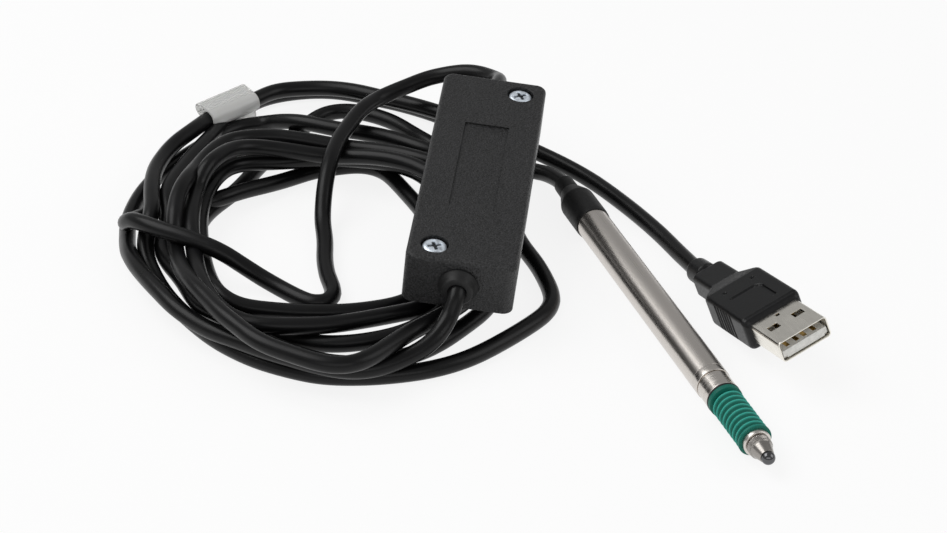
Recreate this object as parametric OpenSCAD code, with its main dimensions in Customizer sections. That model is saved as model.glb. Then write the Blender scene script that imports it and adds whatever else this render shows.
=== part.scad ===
// Measuring probe: a pencil gauging probe with a sprung plunger, its USB interface
// box, its USB plug and the two leads that join them.
// The probe lies along Y with its tip to -Y. The origin is on the probe's axis, in
// the length of the stem where a fixture clamps it. +Z is up.

/* [Stem] */
// Outer diameter of the clamping stem
stem_d = 8; // [7.6:0.1:9]
// Wall of the stem's tube
stem_wall = 0.6; // [0.4:0.05:0.8]
// Distance from the origin forward to the front face of the nose flange
stem_front = 30; // [29:0.5:34]
// Distance from the origin back to the rear end of the stem
stem_rear = 50; // [49:0.5:54]
// Depth of the turned-down seat that the boot grips
stem_step = 0.3; // [0.1:0.05:0.35]

/* [Nose piece] */
// Width of the flange that closes the front of the stem
flange_len = 2.3; // [1.5:0.1:4]
// Diameter of the collar in front of the flange
collar_d = 7.64; // [7.2:0.02:7.9]
// Length of the collar
collar_len = 5.2; // [4.6:0.1:6]
// Outer diameter of the spigot that carries the gaiter
spigot_d = 6; // [5.4:0.1:6.2]
// Length of the spigot in front of the collar
spigot_len = 1; // [0.9:0.1:1.1]

/* [Linear ball guide] */
// Diameter of the plunger rod
rod_d = 3; // [2.6:0.05:3.1]
// Diameter of the guide's balls
guide_ball_d = 0.8; // [0.7:0.02:0.86]
// Wall of the hardened guide bush
bush_wall = 0.5; // [0.3:0.05:0.56]
// Length of the guide bush
bush_len = 24; // [23:0.5:25]
// Wall of the ball cage
cage_wall = 0.56; // [0.4:0.02:0.64]
// Length of the ball cage
cage_len = 14; // [13:0.5:15]
// Rings of balls along the cage
ball_rings = 6; // [4:1:6]
// Balls in one ring
balls_per_ring = 4; // [3:1:5]
// Diameter of the pin that stops the plunger turning
pin_d = 0.6; // [0.4:0.05:0.7]

/* [Plunger and tip] */
// Inward travel of the plunger
stroke = 5; // [4:0.25:5.5]
// Outer diameter of the steel ring that holds the gaiter's front cuff
tip_ring_d = 6.2; // [5.8:0.1:6.6]
// Length of that ring
tip_ring_len = 2; // [1.8:0.1:2.1]
// How far that ring stands out of the gaiter
tip_ring_proud = 1.25; // [0.6:0.05:1.6]
// Diameter of the knurled base of the contact tip
knurl_d = 5.2; // [4.6:0.1:5.6]
// Length of the knurled base
knurl_len = 1.9; // [1.4:0.1:2.6]
// Grooves round the knurled base
knurl_grooves = 28; // [20:1:36]
// Length of the cone in front of the knurl
cone_len = 2.7; // [1.6:0.05:3]
// Diameter of the cone where it holds the ball
cone_end_d = 3.2; // [2.8:0.1:3.4]
// Diameter of the contact ball
tip_ball_d = 3; // [2.6:0.1:3.4]
// Diameter of the tip's threaded stud
stud_d = 2; // [1.6:0.1:2.2]
// Length of that stud
stud_len = 4.6; // [3.6:0.2:5]

/* [Gaiter] */
// Free length of the gaiter in front of the clamp ring
gaiter_len = 16; // [14.5:0.1:18]
// Wall of the gaiter
gaiter_wall = 0.35; // [0.25:0.05:0.45]
// Diameter over the ridges
gaiter_d = 7.35; // [7.1:0.05:7.6]
// Ridges along the gaiter
gaiter_ridges = 8; // [6:1:9]
// Depth of a valley under a ridge
ridge_depth = 0.75; // [0.5:0.05:0.9]
// Length of the smooth rear cuff in front of the clamp ring
rear_cuff_len = 1.6; // [1.2:0.1:1.8]
// Outer diameter of the rear cuff
rear_cuff_d = 7.7; // [7.4:0.05:7.8]
// Outer diameter of the front cuff
cuff_d = 7.5; // [7.2:0.05:7.8]
// Width of the rubber clamp ring behind the gaiter
clamp_ring_len = 0.5; // [0.4:0.05:0.8]
// Outer diameter of that ring
clamp_ring_d = 7.8; // [7.5:0.02:7.86]

/* [Transducer] */
// Diameter of the moving core
core_d = 2.4; // [2:0.1:2.6]
// Length of the moving core
core_len = 18; // [14:0.5:20]
// Diameter of the rod that carries the core
core_rod_d = 1.2; // [0.8:0.1:1.4]
// Gap between the core and the bobbin's bore
core_gap = 0.4; // [0.3:0.05:0.5]
// Wall of the bobbin's tube
bobbin_wall = 0.4; // [0.3:0.05:0.5]
// Width of each flange of the bobbin
bobbin_flange = 0.6; // [0.4:0.1:1]
// Wire diameter of the return spring
spring_wire = 0.35; // [0.25:0.05:0.4]
// Mean diameter of the return spring
spring_d = 4.2; // [4:0.1:4.4]
// Turns of the return spring
spring_turns = 7; // [5:1:8]
// Thickness of the washer behind the spring
seat_len = 0.8; // [0.6:0.1:1.2]
// Gap from the plunger's stop ring to that washer
spring_len = 10.2; // [9.5:0.1:11]
// Thickness of the plunger's stop ring
stop_ring_len = 1.2; // [0.8:0.1:1.6]
// Length of the rear plug
rear_plug_len = 10; // [8:0.5:11]

/* [Leads] */
// Diameter of both leads
lead_d = 4; // [3.6:0.1:4.2]
// Outer diameter of the boot over the stem
boot_d = 8.6; // [8.4:0.1:9.6]
// Length of the stem that the boot covers
boot_grip = 9; // [6:0.5:12]
// Diameter of the boot's narrow end
boot_neck_d = 5; // [4.8:0.1:5.6]
// Length of the boot behind the stem
boot_tail = 11; // [10:0.5:11.4]

/* [Interface box] */
// Length of the box
case_len = 76; // [74:0.5:80]
// Width of the box
case_w = 25; // [24:0.5:28]
// Height of the box
case_h = 12.5; // [12:0.1:13]
// Wall of the box
case_wall = 1.5; // [1.2:0.1:1.6]
// Thickness of the floor plate
plate_t = 1.6; // [1.2:0.1:1.8]
// Radius of the box's upright corners
case_corner = 2.5; // [2:0.1:3]
// Rounding of the box's top edge
case_edge = 1; // [0.6:0.1:1.2]
// Length of the bare label recess
label_len = 34.5; // [28:0.5:40]
// Width of the label recess
label_w = 10.5; // [8:0.5:12]
// Depth of the label recess
label_depth = 0.4; // [0.2:0.05:0.6]
// Sideways distance of each screw from the box's middle
screw_x = 6.5; // [6.3:0.1:7]
// Distance of each screw from the box's middle along its length
screw_y = 32.4; // [31.6:0.1:32.6]
// Diameter of the screw heads
screw_head_d = 5.4; // [4.8:0.1:5.6]
// Depth of the screw heads below the lid
screw_sink = 0.4; // [0.3:0.1:1.3]
// Diameter of the screw shanks
screw_d = 3; // [2.5:0.1:3]
// Depth of the leads' axis below the lid
gland_drop = 6.4; // [6.3:0.05:6.5]
// Diameter of each rubber grommet at the wall
grommet_d = 9; // [8.4:0.1:9]
// Length that each grommet stands out
grommet_len = 2.7; // [2:0.1:4]

/* [USB plug] */
// Width of the plug's metal shell
shell_w = 12; // [11.9:0.05:12.1]
// Height of the metal shell
shell_h = 4.5; // [4.4:0.05:4.6]
// Length of the shell in front of the overmould
shell_len = 11.75; // [11.5:0.05:12]
// Wall of the metal shell
shell_wall = 0.3; // [0.25:0.05:0.35]
// Width of the overmould
grip_w = 15; // [14.5:0.5:18]
// Height of the overmould
grip_h = 8; // [7.8:0.1:9]
// Length of the overmould's wide part
grip_len = 20.2; // [19:0.2:23]
// Length of the neck and strain relief behind it
neck_len = 16.5; // [16:0.5:17.5]

/* [Cable heap] */
// Width of the laid-up bundle across its round ends
coil_w = 93; // [90:1:95]
// Distance between the centres of its round ends
coil_span = 48.5; // [46:0.5:50]
// Width of the bundle's open middle
coil_hole = 40; // [34:1:44]
// Height of the bundle
coil_h = 8; // [7.8:0.1:8]

/* [Hidden] */
$fn = 64;
eps = 0.01;
running = 0.02;
loose = 0.3;

// Radii and stations along the probe, front to back
stem_r = stem_d/2;
stem_bore = stem_r - stem_wall;
seat_r = stem_r - stem_step;
y_boot = stem_rear - boot_grip;
collar_r = collar_d/2;
spigot_r = spigot_d/2;
rod_r = rod_d/2;
guide_ball_r = guide_ball_d/2;
bush_bore = rod_r + guide_ball_d + 2*running;
bush_r = bush_bore + bush_wall;
cage_mid = rod_r + guide_ball_r + running;
y_front = -stem_front;
y_joint = y_front + flange_len;
y_collar = y_front - collar_len;
y_spigot = y_collar - spigot_len;
y_bush = y_collar + 1.2;
y_bush_end = y_bush + bush_len;
y_clamp = y_collar - clamp_ring_len;
y_cuff = y_clamp - gaiter_len;
y_tip = y_cuff - tip_ring_proud;
y_ring_end = y_tip + tip_ring_len;
y_cone = y_tip - knurl_len;
y_cone_end = y_cone - cone_len;
tip_ball_r = tip_ball_d/2;
ball_seat = min(cone_end_d/2 - 0.15, 0.95*tip_ball_r);
y_ball = y_cone_end - sqrt(tip_ball_r*tip_ball_r - ball_seat*ball_seat);
y_stop = y_bush_end + loose;
y_rod_end = y_stop + stop_ring_len;
y_seat = y_rod_end + spring_len;
y_bobbin = y_seat + seat_len;
y_bobbin_end = stem_rear - rear_plug_len;
core_r = core_d/2;
core_rod_r = core_rod_d/2;
bobbin_bore = core_r + core_gap;
bobbin_r = bobbin_bore + bobbin_wall;
winding_len = (y_bobbin_end - y_bobbin - 4*bobbin_flange)/3;
y_core = (y_bobbin + y_bobbin_end - core_len - stroke)/2;
cage_travel = stroke/2;
y_cage = y_bush + 1;
pin_y = y_bush_end - 3;
pin_r = pin_d/2;
slot_r = pin_r + 0.05;

// The gaiter's wave
cuff_r = cuff_d/2;
ridge_mid = gaiter_d/2 - ridge_depth/2;
cuff_slope = 0.45;
wave_start = y_clamp - rear_cuff_len;
wave_end = y_ring_end + cuff_slope + 0.1;
wave_steps = 8;

// The lead's radius, and the surface that the whole part stands on
lead_r = lead_d/2;
floor_z = -boot_d/2;
lay_z = floor_z + lead_r + 0.1;
y_boot_end = stem_rear + boot_tail;

// The box
case_at = [-28.3, 42.3, 20.6];
case_turn = [4.5, 6, -24.8];
screw_r = screw_d/2;
screw_head_r = screw_head_d/2;
sink_r = screw_head_r + 0.45;
head_h = 1.6;
boss_r = sink_r + 0.95;
boss_depth = screw_sink + head_h + 3.9;
post_r = screw_r + 0.85;
plate_top = plate_t - case_h;
end_in = case_len/2 - case_wall;
side_in = case_w/2 - case_wall;
grommet_r = grommet_d/2;
grommet_neck = grommet_r - 1.1;
grommet_lip = grommet_neck + 0.5;
board_len = 2*(screw_y - post_r - 1.2);
board_w = 2*(side_in - 0.6);
board_t = 1.2;
pad_h = 1.6;
board_top = plate_top + pad_h + board_t;

// The plug
plug_at = [19.4, -31.5, 10.6 + floor_z + 4.3];
plug_turn = [-11.6, -17, 8.67];
grip_top = (grip_h - shell_h)/2;
grip_mid = -shell_h/2;
grip_end = shell_len + grip_len;
neck_end = grip_end + neck_len;
neck_r = 3.1;
shell_tail = 6;
shell_corner = 0.6;
tongue_t = 1.9;
tongue_w = shell_w - 2*shell_wall;

// The bundle of lead
coil_r = coil_w/2;
coil_mid = [-62.5, 66.75];
hole_r = coil_hole/2;

// The marker sleeve on the bundle
clip_at = [-68.25, 121.4];
clip_up = 6;
clip_turn = 24.9;
clip_len = 15;
clip_wall = 0.55;
clip_bore = lead_r + 0.15;
clip_r = clip_bore + clip_wall;
clip_side = [3.4, 1.8];
clip_small_r = 1.6;

// Turns one point by x, then y, then z, as rotate() does
function turn_x(p, a) = [p[0], p[1]*cos(a) - p[2]*sin(a), p[1]*sin(a) + p[2]*cos(a)];
function turn_y(p, a) = [p[0]*cos(a) + p[2]*sin(a), p[1], -p[0]*sin(a) + p[2]*cos(a)];
function turn_z(p, a) = [p[0]*cos(a) - p[1]*sin(a), p[0]*sin(a) + p[1]*cos(a), p[2]];
function placed(p, at, turn) = at + turn_z(turn_y(turn_x(p, turn[0]), turn[1]), turn[2]);

// Routes of the four free lengths of lead, point by point
probe_route = [
    [0, y_bobbin_end + rear_plug_len/2, 0], [0, stem_rear + 4, 0], [0, y_boot_end, 0],
    [-0.5, 65, -0.5], [-2, 70, -1.3], [-5, 75, lay_z], [-9, 80, lay_z], [-14, 85, lay_z],
    [-20, 89, lay_z]
];
usb_route = [
    placed([0, grip_end + neck_len/2, grip_mid], plug_at, plug_turn),
    placed([0, neck_end, grip_mid], plug_at, plug_turn),
    [15.45, 25, lay_z], [14.85, 34, lay_z], [13.3, 44, lay_z], [11.2, 54, lay_z],
    [8.5, 64, lay_z], [4.5, 74, lay_z], [-0.5, 82, lay_z], [-7, 88, lay_z],
    [-14, 92.5, lay_z], [-20, 96, lay_z]
];
front_route = [
    placed([0, 4 - end_in, -gland_drop], case_at, case_turn),
    placed([0, -case_len/2 - grommet_len - 1, -gland_drop], case_at, case_turn),
    [-49, 0.5, 9.2], [-53, -1.5, 6.4], [-57, -2, 4], [-61.5, -1.2, 2], [-66, 0.5, 0.5]
];
rear_route = [
    placed([0, end_in - 4, -gland_drop], case_at, case_turn),
    placed([0, case_len/2 + grommet_len + 1, -gland_drop], case_at, case_turn),
    [-7.5, 90, 17.8], [-6.5, 99, 16.5], [-10, 106.5, 13.5], [-17.5, 110, 10],
    [-26, 109.5, 6.5], [-34, 106, 3]
];

// A turned piece on the probe's axis, from points of radius and station
module turned(points) {
    rotate([-90, 0, 0]) rotate_extrude() polygon(points);
}

// A plain ring on the probe's axis
module ring(y0, y1, r_out, r_in) {
    turned([[r_in, y0], [r_out, y0], [r_out, y1], [r_in, y1]]);
}

// A plain rod on the probe's axis
module rod(y0, y1, r) {
    turned([[0, y0], [r, y0], [r, y1], [0, y1]]);
}

// A plate outline with round corners, centred
module round_rect(w, l, r) {
    square([w - 2*r, l], center = true);
    square([w, l - 2*r], center = true);
    for (x = [-1, 1], y = [-1, 1]) translate([x*(w/2 - r), y*(l/2 - r)]) circle(r);
}

// A round tube swept along a list of points, with each ring square to the route
function unit(v) = v/norm(v);
function heading(path, i) =
    unit(path[min(i + 1, len(path) - 1)] - path[max(i - 1, 0)]);
function side_of(d) = unit(cross(d, abs(d[2]) > 0.9 ? [1, 0, 0] : [0, 0, 1]));
function spline(a, b, c, d, t) =
    0.5*(2*b + (c - a)*t + (2*a - 5*b + 4*c - d)*t*t + (3*b - a - 3*c + d)*t*t*t);
function smooth_path(p, steps) = [
    for (i = [0:len(p) - 2], k = [0:steps - 1])
        spline(p[max(i - 1, 0)], p[i], p[i + 1], p[min(i + 2, len(p) - 1)], k/steps),
    p[len(p) - 1]
];

module sweep(path, r, sides) {
    points = [
        for (i = [0:len(path) - 1], k = [0:sides - 1])
            let (d = heading(path, i), u = side_of(d), v = cross(u, d))
            path[i] + r*cos(360*k/sides)*u + r*sin(360*k/sides)*v
    ];
    last = (len(path) - 1)*sides;
    faces = [
        [for (k = [0:sides - 1]) k],
        for (i = [0:len(path) - 2], k = [0:sides - 1])
            let (a = i*sides + k, b = i*sides + (k + 1)%sides)
            [a, a + sides, b + sides, b],
        [for (k = [0:sides - 1]) last + sides - 1 - k]
    ];
    polyhedron(points, faces);
}

module lead(route) {
    color([0.08, 0.08, 0.085]) sweep(smooth_path(route, 2), lead_r, 10);
}

module stem() {
    color([0.68, 0.67, 0.65]) turned([
        [stem_bore, y_joint], [stem_r, y_joint], [stem_r, y_boot], [seat_r, y_boot],
        [seat_r, stem_rear], [stem_bore, stem_rear]
    ]);
}

// Flange and collar outside, tail inside the stem, spigot for the gaiter in front
module nose_piece() {
    edge = 0.15;
    color([0.72, 0.71, 0.69]) turned([
        [rod_r + loose, y_spigot], [spigot_r - edge, y_spigot], [spigot_r, y_spigot + edge],
        [spigot_r, y_collar], [collar_r - edge, y_collar], [collar_r, y_collar + edge],
        [collar_r, y_front], [stem_r - edge, y_front], [stem_r, y_front + edge],
        [stem_r, y_joint], [stem_bore, y_joint], [stem_bore, y_bush_end],
        [bush_r, y_bush_end], [bush_r, y_bush], [rod_r + loose, y_bush]
    ]);
}

module guide_bush() {
    color([0.6, 0.62, 0.65]) difference() {
        ring(y_bush, y_bush_end, bush_r, bush_bore);
        translate([0, pin_y, 0]) cylinder(r = pin_r, h = stem_d);
    }
}

// Radial pin in the bush that runs in the rod's slot
module anti_rotation_pin() {
    color([0.55, 0.57, 0.6]) intersection() {
        translate([0, pin_y, rod_r - 0.45]) cylinder(r = pin_r, h = stem_r);
        rod(pin_y - pin_d, pin_y + pin_d, bush_r);
    }
}

// Points of the guide's balls, each ring turned by half a step from the last
function ball_turn(i, k) = 45 + 360*(k + (i%2)/2)/balls_per_ring;
function ball_y(i) = y_cage + cage_len*(i + 0.5)/ball_rings;

module ball_cage() {
    color([0.8, 0.66, 0.33]) difference() {
        ring(y_cage, y_cage + cage_len, cage_mid + cage_wall/2, cage_mid - cage_wall/2);
        for (i = [0:ball_rings - 1], k = [0:balls_per_ring - 1])
            translate([0, ball_y(i), 0]) rotate([0, ball_turn(i, k), 0])
                translate([0, 0, rod_r/2]) cylinder(r = guide_ball_r + running, h = stem_r, $fn = 24);
    }
}

module guide_balls() {
    color([0.75, 0.76, 0.78])
        for (i = [0:ball_rings - 1], k = [0:balls_per_ring - 1])
            translate([0, ball_y(i), 0]) rotate([0, ball_turn(i, k), 0])
                translate([0, 0, cage_mid]) sphere(r = guide_ball_r, $fn = 24);
}

// Rod with the tip's stud hole in front, the core rod's hole behind and the pin's slot
module plunger_rod() {
    slot_start = pin_y - stroke - 0.4;
    slot_end = pin_y + 0.4;
    color([0.7, 0.71, 0.73]) difference() {
        rod(y_tip, y_rod_end, rod_r);
        rod(y_tip - eps, y_tip + stud_len, stud_d/2);
        rod(y_rod_end - 3.6, y_rod_end + eps, core_rod_r);
        translate([0, 0, rod_r - 0.7]) {
            for (y = [slot_start, slot_end]) translate([0, y, 0]) cylinder(r = slot_r, h = rod_d);
            translate([-slot_r, slot_start, 0]) cube([2*slot_r, slot_end - slot_start, rod_d]);
        }
    }
}

module stop_ring() {
    color([0.5, 0.52, 0.55]) ring(y_stop, y_rod_end, bush_bore + 0.4, rod_r);
}

module core_rod() {
    color([0.78, 0.74, 0.62]) rod(y_rod_end - 3.6, y_core + core_len, core_rod_r);
}

module core() {
    color([0.35, 0.34, 0.34]) ring(y_core, y_core + core_len, core_r, core_rod_r);
}

// Steel ring on the rod, with the gaiter's front cuff over its rear half
module tip_ring() {
    r = tip_ring_d/2 - running;
    color([0.72, 0.71, 0.69]) turned([
        [rod_r, y_tip], [r - 0.2, y_tip], [r, y_tip + 0.2],
        [r, y_ring_end], [rod_r, y_ring_end]
    ]);
}

// Knurled base, cone and stud in one, with a round seat for the ball
module contact_tip() {
    groove_over = 0.3;
    color([0.74, 0.74, 0.73]) difference() {
        turned([
            [0, y_cone_end], [cone_end_d/2, y_cone_end], [knurl_d/2 - 0.25, y_cone],
            [knurl_d/2, y_cone + 0.2], [knurl_d/2, y_tip - 0.15], [knurl_d/2 - 0.15, y_tip],
            [stud_d/2, y_tip], [stud_d/2, y_tip + stud_len], [0, y_tip + stud_len]
        ]);
        translate([0, y_ball, 0]) sphere(r = tip_ball_r);
        for (i = [0:knurl_grooves - 1])
            rotate([0, 360*(i + 0.5)/knurl_grooves, 0])
                translate([knurl_d/2 + 0.03, y_cone - groove_over, 0]) rotate([-90, 0, 0])
                    cylinder(r = 0.17, h = knurl_len + 2*groove_over, $fn = 4);
    }
}

module tip_ball() {
    color([0.5, 0.5, 0.5]) translate([0, y_ball, 0]) sphere(r = tip_ball_r);
}

module gaiter_ring() {
    r_in = spigot_r + gaiter_wall;
    r_out = clamp_ring_d/2;
    edge = 0.2;
    color([0.06, 0.06, 0.06]) turned([
        [r_in, y_clamp], [r_out - edge, y_clamp], [r_out, y_clamp + edge],
        [r_out, y_collar - edge], [r_out - edge, y_collar], [r_in, y_collar]
    ]);
}

// Rubber bellows: rear cuff on the spigot, a wave of ridges, front cuff on the tip ring
function wave_r(t) =
    ridge_mid - 0.5*ridge_depth*cos(360*t*gaiter_ridges);
function wave_y(t) = wave_start + t*(wave_end - wave_start);

module gaiter() {
    n = gaiter_ridges*wave_steps;
    rear_r = spigot_r + gaiter_wall;
    rear_cuff_r = rear_cuff_d/2;
    front_r = tip_ring_d/2;
    outer = [for (i = [0:n]) [wave_r(i/n), wave_y(i/n)]];
    inner = [for (i = [n:-1:0]) [wave_r(i/n) - gaiter_wall, wave_y(i/n)]];
    color([0.0, 0.42, 0.35]) turned(concat(
        [[spigot_r, y_collar], [rear_r, y_collar], [rear_r, y_clamp],
         [rear_cuff_r - 0.1, y_clamp], [rear_cuff_r, y_clamp - 0.1],
         [rear_cuff_r, wave_start + cuff_slope + 0.1], [rear_cuff_r - 0.1, wave_start + cuff_slope]],
        outer,
        [[cuff_r - 0.15, wave_end - cuff_slope], [cuff_r, wave_end - cuff_slope - 0.15],
         [cuff_r, y_cuff + 0.2], [cuff_r - 0.2, y_cuff], [front_r, y_cuff],
         [front_r, wave_end - cuff_slope]],
        inner,
        [[spigot_r, y_spigot]]
    ));
}

module return_spring() {
    n = 12*spring_turns;
    y0 = y_rod_end + spring_wire/2 + running;
    y1 = y_seat - spring_wire/2 - running;
    path = [
        for (i = [0:n]) [
            spring_d/2*cos(360*i/12), y0 + (y1 - y0)*i/n, spring_d/2*sin(360*i/12)
        ]
    ];
    color([0.62, 0.64, 0.67]) sweep(path, spring_wire/2, 6);
}

module spring_seat() {
    color([0.6, 0.62, 0.65]) ring(y_seat, y_bobbin, stem_bore, bobbin_bore);
}

function chamber_y(i) = y_bobbin + bobbin_flange + i*(winding_len + bobbin_flange);

module bobbin() {
    color([0.85, 0.8, 0.66]) {
        ring(y_bobbin, y_bobbin_end, bobbin_r, bobbin_bore);
        for (i = [0:3]) {
            y = chamber_y(i) - bobbin_flange;
            ring(y, y + bobbin_flange, stem_bore, bobbin_bore);
        }
    }
}

module windings() {
    color([0.72, 0.4, 0.2])
        for (i = [0:2])
            ring(chamber_y(i), chamber_y(i) + winding_len, stem_bore - 0.2, bobbin_r);
}

// Plug in the stem's rear end, bored for the lead and its cores
module rear_plug() {
    mid = y_bobbin_end + rear_plug_len/2;
    color([0.15, 0.15, 0.16]) turned([
        [lead_r - 0.9, y_bobbin_end], [stem_bore, y_bobbin_end], [stem_bore, stem_rear],
        [lead_r, stem_rear], [lead_r, mid], [lead_r - 0.9, mid]
    ]);
}

// Moulded boot over the stem's rear end that narrows onto the lead
module boot() {
    r = boot_d/2;
    neck = boot_neck_d/2;
    color([0.1, 0.1, 0.1]) turned([
        [seat_r, y_boot], [r - 0.1, y_boot], [r, y_boot + 0.1],
        [r, stem_rear + 1.2], [r - 0.3, stem_rear + 2.2],
        [neck + 0.5, stem_rear + 5.2], [neck, stem_rear + 6.5], [neck, y_boot_end - 0.2],
        [neck - 0.2, y_boot_end], [lead_r, y_boot_end], [lead_r, stem_rear], [seat_r, stem_rear]
    ]);
}

// Places the box's pieces: the middle of the lid's outer face is their origin
module in_case() {
    translate(case_at) rotate(case_turn) children();
}

module both_screws() {
    for (s = [-1, 1]) translate([s*screw_x, s*screw_y, 0]) children();
}

module case_outline() {
    intersection() {
        translate([0, 0, -case_h]) linear_extrude(case_h)
            round_rect(case_w, case_len, case_corner);
        hull()
            for (x = [-1, 1], y = [-1, 1])
                translate([x*(case_w/2 - case_corner), y*(case_len/2 - case_corner), 0]) {
                    translate([0, 0, -case_edge]) rotate_extrude($fn = 32)
                        translate([case_corner - case_edge, 0]) circle(case_edge, $fn = 24);
                    translate([0, 0, -case_h]) cylinder(r = case_corner + eps, h = 1, $fn = 32);
                }
    }
}

// Deep lid: open below, two screw bosses inside, a wall hole for each grommet
module case_shell() {
    color([0.23, 0.23, 0.235]) in_case() difference() {
        union() {
            difference() {
                case_outline();
                translate([0, 0, -case_h - eps])
                    linear_extrude(case_h - case_wall + eps)
                        round_rect(2*side_in, 2*end_in, case_corner - case_wall);
            }
            intersection() {
                both_screws() translate([0, 0, -boss_depth]) cylinder(r = boss_r, h = boss_depth - 0.5);
                translate([0, 0, -case_h]) linear_extrude(case_h - 0.5)
                    round_rect(2*side_in + 0.4, 2*end_in + 0.4, case_corner - case_wall);
            }
        }
        both_screws() {
            translate([0, 0, -screw_sink - head_h]) cylinder(r = sink_r, h = case_h);
            translate([0, 0, -case_h]) cylinder(r = screw_r + loose, h = case_h);
        }
        translate([0, 0, -label_depth]) linear_extrude(case_h) round_rect(label_w, label_len, 1);
        for (s = [-1, 1]) translate([0, s*case_len/2, -gland_drop]) rotate([90, 0, 0]) {
            cylinder(r = grommet_neck, h = 4*case_wall, center = true);
            translate([0, 0, s*(case_wall + 3)]) cylinder(r = grommet_lip + 0.1, h = 6, center = true);
        }
    }
}

// Floor plate inside the lid's rim, with a post under each screw and four board pads
module case_plate() {
    color([0.2, 0.2, 0.205]) in_case() difference() {
        union() {
            translate([0, 0, -case_h]) linear_extrude(plate_t)
                round_rect(2*side_in, 2*end_in, case_corner - case_wall);
            both_screws() translate([0, 0, plate_top]) cylinder(r = post_r, h = -boss_depth - plate_top);
            for (x = [-1, 1], y = [-1, 1])
                translate([x*(board_w/2 - 2), y*(board_len/2 - 2), plate_top])
                    cylinder(r = 1.4, h = pad_h);
        }
        both_screws() translate([0, 0, 0.6 - case_h]) cylinder(r = screw_r, h = case_h);
    }
}

module case_screws() {
    color([0.75, 0.78, 0.84]) in_case() both_screws() difference() {
        union() {
            translate([0, 0, -screw_sink - head_h]) cylinder(r = screw_head_r, h = head_h - 0.5);
            translate([0, 0, -screw_sink - 0.5])
                cylinder(r1 = screw_head_r, r2 = screw_head_r - 0.7, h = 0.5);
            translate([0, 0, 1 - case_h])
                cylinder(r = screw_r, h = case_h - 1 - screw_sink - head_h + eps);
        }
        for (a = [0, 90]) rotate([0, 0, a + 20]) translate([-1.5, -0.35, -screw_sink - 1.1])
            cube([3, 0.7, 3]);
    }
}

module circuit_board() {
    color([0.05, 0.3, 0.16]) in_case() difference() {
        translate([0, 0, plate_top + pad_h]) linear_extrude(board_t)
            square([board_w, board_len], center = true);
        for (s = [-1, 1], x = [-3:2:3]) translate([x, s*(board_len/2 - 2.5), -case_h])
            cylinder(r = 0.5, h = case_h, $fn = 24);
    }
}

// A box-shaped component standing on the board
module on_board(x, y, w, l, h) {
    translate([x - w/2, y - l/2, board_top]) cube([w, l, h]);
}

module board_parts() {
    color([0.12, 0.12, 0.13]) in_case() {
        on_board(0, 12, 7, 7, 1);
        on_board(-2, -1, 5, 6, 1.5);
        on_board(5.5, 2, 3.2, 5, 1.3);
        on_board(1.5, -13, 4, 5, 1.5);
        for (y = [-20, -16, -9, 20]) on_board(-6.5, y, 1.6, 3.2, 1.2);
        for (x = [-3, 0, 3]) on_board(x, 21, 1.2, 2, 0.8);
    }
}

// Rubber grommet: cone outside, waist in the wall's hole, lip inside
module grommet(s) {
    color([0.09, 0.09, 0.09]) in_case()
        translate([0, s*case_len/2, -gland_drop]) rotate([-90*s, 0, 0])
            rotate_extrude() polygon([
                [lead_r, -case_wall - 1.2], [grommet_lip, -case_wall - 1.2],
                [grommet_lip, -case_wall], [grommet_neck, -case_wall], [grommet_neck, 0],
                [grommet_r, 0], [grommet_r - 0.1, 0.5], [grommet_r - 0.45, 1.3],
                [grommet_r - 1.2, grommet_len], [lead_r, grommet_len]
            ]);
}

module front_grommet() {
    grommet(-1);
}

module rear_grommet() {
    grommet(1);
}

// Places the plug's pieces: their origin is the middle of the mouth's top edge
module in_plug() {
    translate(plug_at) rotate(plug_turn) children();
}

module shell_tube(w, h, r, len) {
    rotate([-90, 0, 0]) linear_extrude(len) translate([0, shell_h/2]) round_rect(w, h, r);
}

module plug_shell() {
    hole_w = 2.6;
    hole_l = 2.1;
    color([0.72, 0.71, 0.68]) in_plug() difference() {
        shell_tube(shell_w, shell_h, shell_corner, shell_len + shell_tail);
        translate([0, -1, 0])
            shell_tube(tongue_w, shell_h - 2*shell_wall, shell_corner - shell_wall, 2*(shell_len + shell_tail));
        for (x = [-1, 1]) translate([x*3.16 - hole_w/2, 6.65 - hole_l/2, -shell_h - 1])
            cube([hole_w, hole_l, shell_h + 2]);
        translate([-0.45, 10.2, -1]) cube([0.9, 1, 2]);
    }
}

// Insulating tongue in the lower half of the mouth, with four contact grooves
module plug_tongue() {
    color([0.93, 0.92, 0.88]) in_plug() difference() {
        intersection() {
            shell_tube(tongue_w, shell_h - 2*shell_wall, shell_corner - shell_wall, shell_len + shell_tail);
            translate([-tongue_w/2, 0.4, shell_wall - shell_h])
                cube([tongue_w, shell_len + shell_tail - 0.8, tongue_t]);
        }
        for (x = [-3.5, -1, 1, 3.5])
            translate([x - 0.5, 1.4, shell_wall - shell_h + tongue_t - 0.3])
                cube([1, shell_len + shell_tail, 1]);
        for (x = [-1, 1]) translate([x*(tongue_w/2 - 0.35) - 0.5, -1, shell_wall - shell_h - 0.5])
            cube([1, 1.8, 1]);
    }
}

module plug_contacts() {
    color([0.83, 0.68, 0.3]) in_plug()
        for (x = [-3.5, -1, 1, 3.5])
            translate([x - 0.5, 1.4, shell_wall - shell_h + tongue_t - 0.3])
                cube([1, shell_len + shell_tail - 2.4, 0.25]);
}

// Half of the grip's plan, from its front edge back to where the neck begins
grip_front_r = 1.2;
shoulder = 2.6;
function arc(cx, cy, r, a0, a1, n) =
    [for (i = [0:n]) [cx + r*cos(a0 + (a1 - a0)*i/n), cy + r*sin(a0 + (a1 - a0)*i/n)]];

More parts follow.
